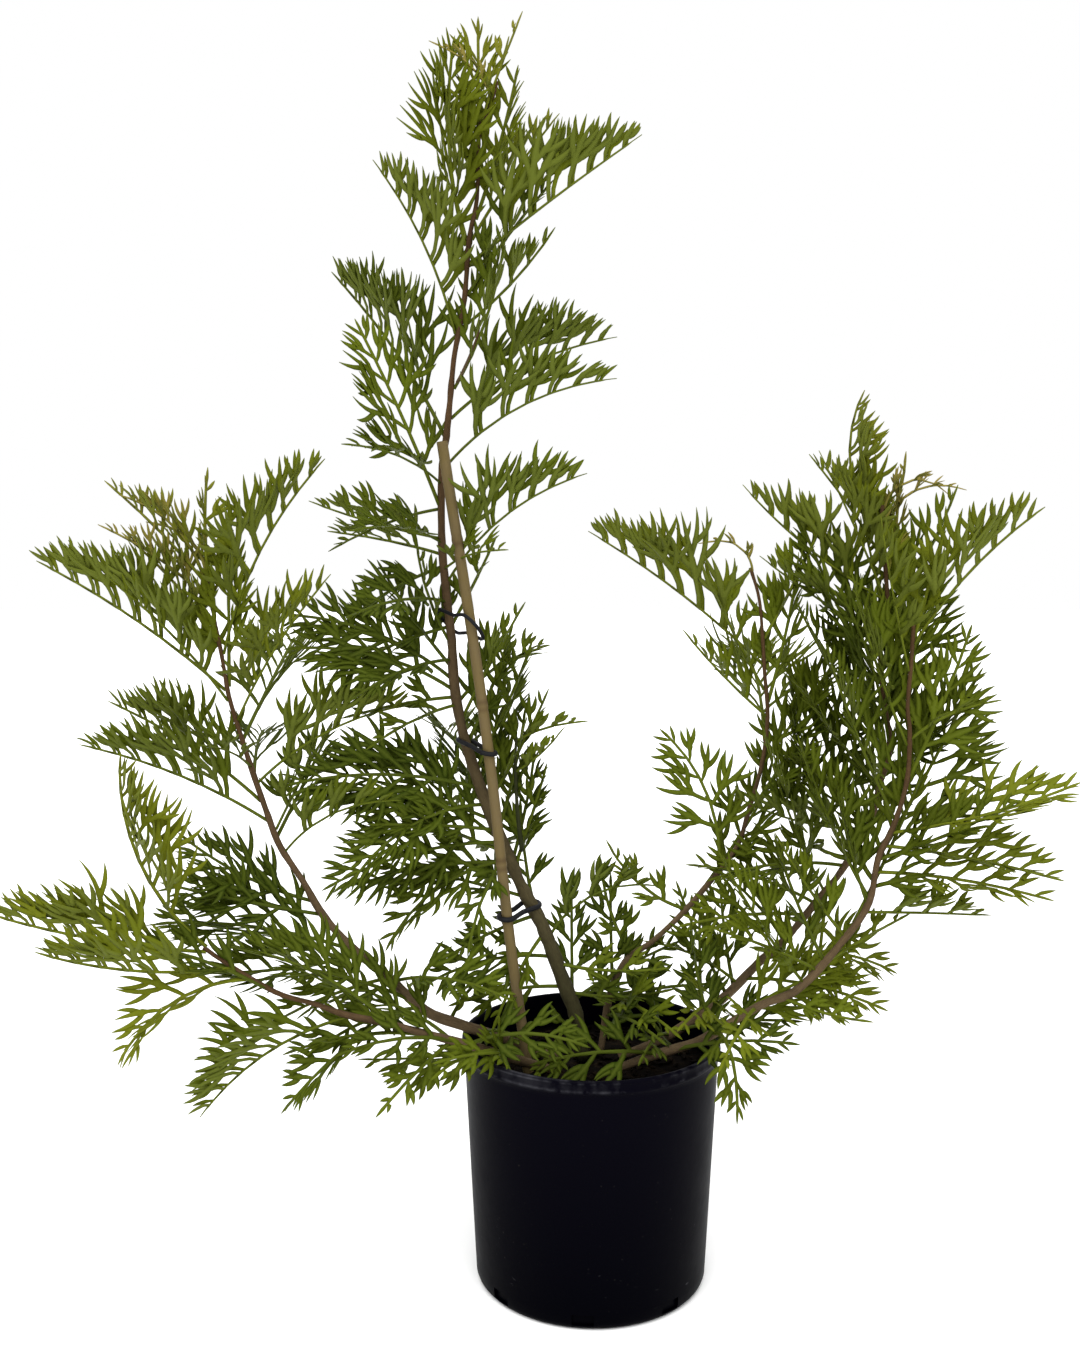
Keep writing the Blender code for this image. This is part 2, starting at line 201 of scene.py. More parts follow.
def makeLeafMaterial():
    material, tree, shader = newMaterial("leafBlade", {"Specular IOR Level": 0.02})
    normal = tree.nodes.new("ShaderNodeNewGeometry").outputs["Normal"]
    upward = attribute(tree, "upward", "Vector")
    facing = addNode(tree, "ShaderNodeVectorMath", {0: normal, 1: upward}, operation="DOT_PRODUCT")
    below = remap(tree, facing.outputs["Value"], 0.15, -0.35)
    mottle = addMottle(tree, 42.0)
    # Colour by age. Where the tables set low leaves near 1, the dark old colour also stands for painted
    # shade.
    byAge = ramp(tree, attribute(tree, "age"), [(0.0, leafColours["newest"]), (0.30, leafColours["young"]),
                                                (0.68, leafColours["grown"]), (1.0, leafColours["old"])])
    darker = mixColours(tree, 1.0, byAge, grey(0.62), "MULTIPLY")
    lighter = mixColours(tree, 1.0, byAge, grey(1.28), "MULTIPLY")
    tone = maths(tree, "ADD", times(tree, attribute(tree, "tone"), 0.6), times(tree, mottle, 0.4), clamp=True)
    toned = mixColours(tree, tone, darker, lighter)
    veined = mixColours(tree, times(tree, attribute(tree, "rib"), 0.34), toned, leafColours["vein"])
    base = mixColours(tree, times(tree, below, 0.62), veined, leafColours["under"])
    finishMaterial(tree, shader, base, (mottle, 0.40, 0.18), (mottle, 0.25, 0.0006))
    return material


barkColours = {
    "old": (0.092, 0.064, 0.034, 1.0),
    "young": (0.062, 0.034, 0.015, 1.0),
    "green": (0.021, 0.025, 0.009, 1.0),
    "crack": (0.022, 0.014, 0.008, 1.0),
}


def makeBarkMaterial():
    material, tree, shader = newMaterial("stemBark", {"Specular IOR Level": 0.05})
    streak = stretchedNoise(tree, (26.0, 2.2, 1.0), 6.0, 5.0)
    mottle = addMottle(tree, 70.0)
    base = mixColours(tree, attribute(tree, "grown"), barkColours["old"], barkColours["young"])
    base = mixColours(tree, attribute(tree, "green"), base, barkColours["green"])
    spotted = mixColours(tree, 1.0, base, grey(1.7), "MULTIPLY")
    base = mixColours(tree, times(tree, remap(tree, mottle, 0.40, 0.62), 0.45), base, spotted)
    base = mixColours(tree, times(tree, remap(tree, streak, 0.52, 0.36), 0.55), base, barkColours["crack"])
    relief = maths(tree, "ADD", streak, mottle)
    finishMaterial(tree, shader, base, (streak, 0.6, 0.25), (relief, 0.5, 0.0008))
    return material


bambooColours = {
    "dark": (0.066, 0.046, 0.014, 1.0),
    "light": (0.165, 0.122, 0.050, 1.0),
    "stain": (0.115, 0.085, 0.045, 1.0),
    "ring": (0.060, 0.036, 0.017, 1.0),
}


def makeBambooMaterial():
    material, tree, shader = newMaterial("bambooCane", {"Specular IOR Level": 0.06})
    grain = stretchedNoise(tree, (60.0, 1.6, 1.0), 5.0, 4.0)
    stains = remap(tree, addMottle(tree, 30.0), 0.42, 0.60)
    base = mixColours(tree, grain, bambooColours["dark"], bambooColours["light"])
    base = mixColours(tree, times(tree, stains, 0.55), base, bambooColours["stain"])
    base = mixColours(tree, times(tree, attribute(tree, "ring"), 0.75), base, bambooColours["ring"])
    finishMaterial(tree, shader, base, (grain, 0.45, 0.25), (grain, 0.35, 0.0005))
    return material


# Colours of the pot. low and high are painted shade: the plastic is darkest at the foot and lighter up to the
# rim.
potColours = {
    "low": (0.0002, 0.0002, 0.0010, 1.0),
    "high": (0.0013, 0.0011, 0.0030, 1.0),
    # Painted highlight: a light grey for the lines along the rolled rim's bead.
    "painted_rim_highlight": (0.040, 0.040, 0.046, 1.0),
    "scuff": (0.080, 0.080, 0.084, 1.0),
    "dust": (0.120, 0.110, 0.095, 1.0),
}


def makePotMaterial():
    material, tree, shader = newMaterial("potPlastic", {"Specular IOR Level": 0.012})
    coords = tree.nodes.new("ShaderNodeTexCoord").outputs["Object"]
    mottle = addMottle(tree, 26.0)
    patch = remap(tree, mottle, 0.54, 0.62)
    specks = addNode(tree, "ShaderNodeTexVoronoi", {"Vector": coords, "Scale": 150.0, "Randomness": 1.0})
    dust = times(tree, remap(tree, specks.outputs["Distance"], 0.13, 0.03), patch)
    height = addNode(tree, "ShaderNodeSeparateXYZ", {"Vector": coords}).outputs["Z"]
    lowDown = remap(tree, height, 0.075, 0.010)
    turned = addNode(tree, "ShaderNodeMapping", {"Vector": coords, "Rotation": (0.3, 0.5, 0.2),
                                                 "Scale": (60.0, 60.0, 150.0)}).outputs[0]
    scuff = addNode(tree, "ShaderNodeTexNoise", {"Vector": turned, "Scale": 2.0, "Detail": 4.0}).outputs[0]
    scuff = times(tree, remap(tree, scuff, 0.66, 0.74), times(tree, lowDown, patch))
    # Painted highlight: light broken dashes along the rim bead, broken up by mottling.
    painted_rim_highlight = times(tree, attribute(tree, "painted_rim_highlight"), times(tree, remap(tree, mottle, 0.44, 0.60), 0.9))
    # Painted shade: the base colour runs by height from low at the foot to high at the rim.
    base = mixColours(tree, times(tree, height, 5.0, clamp=True), potColours["low"], potColours["high"])
    base = mixColours(tree, painted_rim_highlight, base, potColours["painted_rim_highlight"])
    base = mixColours(tree, times(tree, scuff, 0.5), base, potColours["scuff"])
    base = mixColours(tree, times(tree, dust, 0.10), base, potColours["dust"])
    relief = maths(tree, "ADD", mottle, times(tree, scuff, -0.6))
    finishMaterial(tree, shader, base, (mottle, 0.30, 0.22), (relief, 0.30, 0.0012))
    return material


# Potting mix colours. gap is painted shade, the near-black of the hollows between crumbs; crumb and chip are
# the mix's own colours.
mixShades = {
    "gap": (0.0008, 0.0006, 0.0005, 1.0),
    "crumb": (0.0040, 0.0026, 0.0015, 1.0),
    "chip": (0.022, 0.014, 0.007, 1.0),
}


def makeMixMaterial():
    material, tree, shader = newMaterial("barkMix", {"Specular IOR Level": 0.03})
    mottle = addMottle(tree, 60.0)
    # Painted shade: the darkest mottle patches take the gap colour.
    base = ramp(tree, mottle, [(0.30, mixShades["gap"]), (0.52, mixShades["crumb"]),
                               (0.74, mixShades["chip"])])
    finishMaterial(tree, shader, base, (mottle, 0.8, 0.2), (mottle, 0.9, 0.003))
    return material


tieColours = {"dark": (0.004, 0.004, 0.005, 1.0), "light": (0.016, 0.016, 0.018, 1.0)}


def makeTieMaterial():
    material, tree, shader = newMaterial("tiePlastic", {"Specular IOR Level": 0.06})
    mottle = addMottle(tree, 120.0)
    base = mixColours(tree, mottle, tieColours["dark"], tieColours["light"])
    finishMaterial(tree, shader, base, (mottle, 0.32, 0.3), (mottle, 0.2, 0.0004))
    return material


leafBlade = makeLeafMaterial()
stemBark = makeBarkMaterial()
bambooCane = makeBambooMaterial()
potPlastic = makePotMaterial()
barkMix = makeMixMaterial()
tiePlastic = makeTieMaterial()
print("materials ready")


# Piece helpers

def finishPiece(name, bm, material, nodes=(), smooth=True):
    mesh = bpy.data.meshes.new(name)
    bm.to_mesh(mesh)
    bm.free()
    mesh.materials.append(material)
    if smooth:
        mesh.shade_smooth()
    piece = bpy.data.objects.new(name, mesh)
    bpy.context.scene.collection.objects.link(piece)
    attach(piece, "root")
    if nodes:
        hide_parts(*nodes)
    return piece


def smoothPath(points, steps):
    pts = [Vector(p) for p in points]
    ends = [2 * pts[0] - pts[1]] + pts + [2 * pts[-1] - pts[-2]]
    out = []
    for i in range(1, len(ends) - 2):
        p0, p1, p2, p3 = ends[i - 1], ends[i], ends[i + 1], ends[i + 2]
        for k in range(steps):
            t = k / steps
            out.append(0.5 * (2 * p1 + (p2 - p0) * t + (2 * p0 - 5 * p1 + 4 * p2 - p3) * t * t
                              + (3 * p1 - p0 - 3 * p2 + p3) * t * t * t))
    out.append(pts[-1])
    return out


# Sweeps a circle along a path by extruding ring after ring; values are stored per ring.
def sweepTube(path, radii, sides, marks, closed=False):
    bm = bmesh.new()
    layers = {name: bm.verts.layers.float.new(name) for name in marks}
    count = len(path)
    tangents = []
    for i in range(count):
        before = path[(i - 1) % count] if closed or i > 0 else path[0]
        after = path[(i + 1) % count] if closed or i < count - 1 else path[-1]
        tangents.append((after - before).normalized())
    side = tangents[0].orthogonal().normalized()
    ring = bmesh.ops.create_circle(bm, segments=sides, radius=1.0)["verts"]
    rings = []
    for i in range(count):
        side = (side - tangents[i] * side.dot(tangents[i])).normalized()
        other = tangents[i].cross(side)
        if i > 0:
            edges = [bm.edges.get((ring[k], ring[(k + 1) % sides])) for k in range(sides)]
            made = set(v for v in bmesh.ops.extrude_edge_only(bm, edges=edges)["geom"]
                       if isinstance(v, bmesh.types.BMVert))
            ring = [next(e.other_vert(v) for e in v.link_edges if e.other_vert(v) in made) for v in ring]
        for k, vert in enumerate(ring):
            angle = 2 * math.pi * k / sides
            reach = radii[i][k] if isinstance(radii[i], list) else radii[i]
            vert.co = path[i] + reach * (side * math.cos(angle) + other * math.sin(angle))
            for name, values in marks.items():
                vert[layers[name]] = values[i]
        rings.append(ring)
    if closed:
        first = [bm.edges.get((rings[0][k], rings[0][(k + 1) % sides])) for k in range(sides)]
        last = [bm.edges.get((rings[-1][k], rings[-1][(k + 1) % sides])) for k in range(sides)]
        bmesh.ops.bridge_loops(bm, edges=first + last)
    else:
        for end in (rings[0], rings[-1]):
            edges = [bm.edges.get((end[k], end[(k + 1) % sides])) for k in range(sides)]
            bmesh.ops.contextual_create(bm, geom=edges)
    bmesh.ops.recalc_face_normals(bm, faces=bm.faces)
    wrap = bm.loops.layers.uv.new("wrap")
    where = {v: (k / sides, i) for i, row in enumerate(rings) for k, v in enumerate(row)}
    lengths = [0.0]
    for a, b in zip(path[:-1], path[1:]):
        lengths.append(lengths[-1] + (b - a).length)
    for face in bm.faces:
        across = [where[loop.vert][0] for loop in face.loops]
        folded = max(across) - min(across) > 0.5
        for loop, u in zip(face.loops, across):
            loop[wrap].uv = (u + 1.0 if folded and u < 0.5 else u, lengths[where[loop.vert][1]] * 10.0)
    return bm


def directionOf(bearing, rise):
    b, r = math.radians(bearing), math.radians(rise)
    return Vector((math.cos(r) * math.cos(b), math.cos(r) * math.sin(b), math.sin(r)))


def pointAtHeight(points, height):
    for low, high in zip(points[:-1], points[1:]):
        if low.z <= height <= high.z:
            t = (height - low.z) / (high.z - low.z)
            return low.lerp(high, t), (high - low).normalized()
    return points[-1].copy(), (points[-1] - points[-2]).normalized()


# Stems: radius at the foot, radius at the tip, how green the bark is, and the run.

shoots = {
    "leader": (0.0055, 0.0014, 0.90, [
        (-0.006, 0.006, 0.1680), (-0.012, 0.006, 0.205), (-0.022, 0.006, 0.232),
        (-0.035, 0.006, 0.268), (-0.043, 0.006, 0.286), (-0.053, 0.007, 0.304),
        (-0.064, 0.010, 0.328), (-0.082, 0.011, 0.372), (-0.099, 0.010, 0.425),
        (-0.106, 0.009, 0.464), (-0.108, 0.008, 0.499), (-0.112, 0.008, 0.537),
        (-0.115, 0.009, 0.574), (-0.115, 0.010, 0.626), (-0.111, 0.008, 0.655),
        (-0.108, 0.006, 0.681), (-0.105, 0.006, 0.711), (-0.100, 0.006, 0.738),
        (-0.096, 0.006, 0.762), (-0.093, 0.006, 0.800), (-0.087, 0.006, 0.830),
        (-0.085, 0.006, 0.878), (-0.078, 0.006, 0.894), (-0.072, 0.006, 0.914)]),
    "left": (0.0038, 0.0012, 0.0, [
        (-0.026, 0.004, 0.1714), (-0.048, 0.000, 0.179), (-0.072, -0.005, 0.190),
        (-0.100, -0.009, 0.201), (-0.129, -0.010, 0.213), (-0.159, -0.010, 0.241),
        (-0.182, -0.010, 0.260), (-0.206, -0.010, 0.287), (-0.222, -0.010, 0.315),
        (-0.239, -0.010, 0.342), (-0.250, -0.010, 0.372), (-0.264, -0.010, 0.416),
        (-0.276, -0.010, 0.458), (-0.281, -0.010, 0.490), (-0.292, -0.010, 0.551)]),
    "low": (0.0036, 0.0013, 0.0, [
        (-0.026, -0.028, 0.1712), (-0.048, -0.034, 0.180), (-0.071, -0.042, 0.190),
        (-0.093, -0.049, 0.200), (-0.118, -0.060, 0.211), (-0.151, -0.070, 0.224),
        (-0.180, -0.075, 0.232), (-0.202, -0.080, 0.242), (-0.231, -0.080, 0.251),
        (-0.267, -0.080, 0.273), (-0.282, -0.080, 0.284)]),
    "inner": (0.0027, 0.0012, 0.0, [
        (0.008, 0.018, 0.1668), (0.015, 0.020, 0.212), (0.027, 0.020, 0.242),
        (0.049, 0.020, 0.259), (0.067, 0.020, 0.276), (0.085, 0.020, 0.296),
        (0.114, 0.020, 0.333), (0.123, 0.020, 0.360), (0.134, 0.020, 0.401),
        (0.138, 0.020, 0.438), (0.135, 0.020, 0.475), (0.133, 0.020, 0.503),
        (0.130, 0.020, 0.531), (0.123, 0.020, 0.555)]),
    "middle": (0.0034, 0.0013, 0.0, [
        (0.022, 0.004, 0.1710), (0.045, 0.008, 0.178), (0.068, 0.012, 0.189),
        (0.105, 0.020, 0.212), (0.136, 0.020, 0.244), (0.153, 0.020, 0.259),
        (0.177, 0.020, 0.289), (0.198, 0.020, 0.316), (0.219, 0.020, 0.353),
        (0.227, 0.020, 0.386), (0.234, 0.020, 0.416), (0.228, 0.020, 0.455),
        (0.225, 0.020, 0.497), (0.230, 0.020, 0.522), (0.224, 0.020, 0.588),
        (0.224, 0.020, 0.603)]),
    "outer": (0.0032, 0.0013, 0.0, [
        (0.014, -0.026, 0.1708), (0.036, -0.030, 0.181), (0.060, -0.032, 0.190),
        (0.084, -0.033, 0.199), (0.125, -0.040, 0.227), (0.155, -0.040, 0.241),
        (0.190, -0.040, 0.281), (0.206, -0.040, 0.307), (0.212, -0.040, 0.340),
        (0.223, -0.040, 0.365), (0.232, -0.040, 0.399), (0.233, -0.040, 0.436),
        (0.231, -0.040, 0.453), (0.233, -0.040, 0.489), (0.234, -0.040, 0.518)]),
    "green_twig": (0.0020, 0.0010, 1.0, [
        (-0.0540, 0.003, 0.336), (-0.0575, -0.002, 0.370), (-0.0590, -0.003, 0.408),
        (-0.0580, -0.003, 0.425)]),
    "top_twig": (0.0012, 0.0008, 0.2, [
        (-0.1025, 0.003, 0.694), (-0.0970, 0.001, 0.704), (-0.0868, 0.000, 0.728),
        (-0.0852, 0.000, 0.740)]),
}

# Most low leaves round the pot's mouth are given ages near 1, so their dark old colour is partly painted
# shade.
# Leaves on each shoot. A row is the height it leaves the shoot at, bearing and rise of
# the midrib at its base, bearing and rise at its tip, length, tilt of the upper face
# towards the front, how far the lobes fold up, and age (0 just opened, 1 old and dark).
# The first table matches the solid leaves, and the second fills in between them.

mainLeaves = {
    "leader": [
        (0.795, 180, 75, 180, 100, 0.15, 75, 45, 0.6), (0.884, 350, 70, 352, 66, 0.07, 40, 35, 0.3),
        (0.782, 340, 34, 352, 32, 0.152, 12, 72, 0.6), (0.73, 196, 76, 186, 52, 0.134, 20, 62, 0.62),
        (0.736, 20, 38, 12, 55, 0.098, 25, 50, 0.72), (0.655, 142, 58, 166, 46, 0.162, 15, 72, 0.85),
        (0.603, 208, 67, 196, 62, 0.146, 62, 6, 0.76), (0.668, 28, 42, 8, 10, 0.15, 12, 72, 0.76),
        (0.632, 342, 46, 352, 4, 0.146, 12, 72, 0.78), (0.545, 340, 56, 350, 16, 0.134, 15, 66, 0.78),
        (0.578, 200, 10, 190, 20, 0.092, 20, 60, 0.74), (0.566, 150, 14, 160, 6, 0.095, 20, 55, 0.74),
        (0.47, 186, 40, 184, 2, 0.136, 70, 12, 0.96), (0.44, 350, 64, 345, 58, 0.092, 45, 40, 0.84),
        (0.452, 60, 30, 40, 8, 0.11, 10, 40, 0.82), (0.372, 205, 2, 196, -58, 0.124, 40, 20, 0.92),
        (0.345, 172, 36, 178, 46, 0.11, 70, 15, 0.96), (0.4, 110, 20, 100, -10, 0.13, 0, 35, 0.9),
        (0.267, 2, 60, 0, -6, 0.09, 10, 74, 0.96),
    ],
    "left": [
        (0.463, 184, 43, 180, 27, 0.167, 12, 74, 0.58), (0.546, 178, 76, 182, 18, 0.086, 20, 55, 0.16),
        (0.49, 352, 76, 0, 46, 0.165, 30, 55, 0.55), (0.44, 330, 60, 345, 46, 0.134, 30, 45, 0.5),
        (0.363, 186, 34, 182, 12, 0.15, 12, 74, 0.76), (0.378, 168, 40, 172, 22, 0.14, 15, 70, 0.72),
        (0.392, 10, 44, 4, 8, 0.13, 12, 74, 0.66), (0.338, 345, 50, 352, 2, 0.096, 12, 70, 0.76),
        (0.3, 165, 10, 180, 40, 0.115, 50, 25, 1.0), (0.425, 80, 34, 90, 14, 0.165, 0, 35, 0.8),
    ],
    "low": [
        (0.282, 182, 4, 180, 17, 0.152, 14, 80, 0.42), (0.27, 212, 2, 190, 20, 0.13, 12, 60, 0.5),
        (0.283, 178, 40, 178, 96, 0.156, 20, 62, 0.36), (0.232, 186, -14, 184, -54, 0.126, 10, 70, 0.72),
    ],
    "inner": [
        (0.48, 176, 44, 180, 30, 0.168, 12, 72, 0.5), (0.44, 190, 40, 182, 50, 0.086, 30, 40, 0.66),
        (0.318, 0, 88, 0, 138, 0.118, 80, 10, 0.78), (0.42, 84, 34, 92, 10, 0.16, 0, 35, 0.72),
    ],
    "middle": [
        (0.53, 170, 30, 176, 48, 0.138, 12, 70, 0.52), (0.58, 178, 50, 182, 114, 0.112, 40, 68, 0.34),
        (0.42, 222, 74, 196, 58, 0.124, 80, 8, 0.94), (0.35, 196, 2, 188, 30, 0.115, 10, 50, 0.96),
        (0.3, 250, -60, 240, -70, 0.095, 40, 25, 0.62), (0.45, 60, 45, 70, 30, 0.13, 0, 35, 0.8),
    ],
    "outer": [
        (0.5, 352, 60, 0, 35, 0.132, 12, 70, 0.48), (0.36, 350, 10, 356, 24, 0.136, 30, 30, 0.46),
        (0.33, 335, 4, 345, -14, 0.118, 30, 25, 0.52),
    ],
}

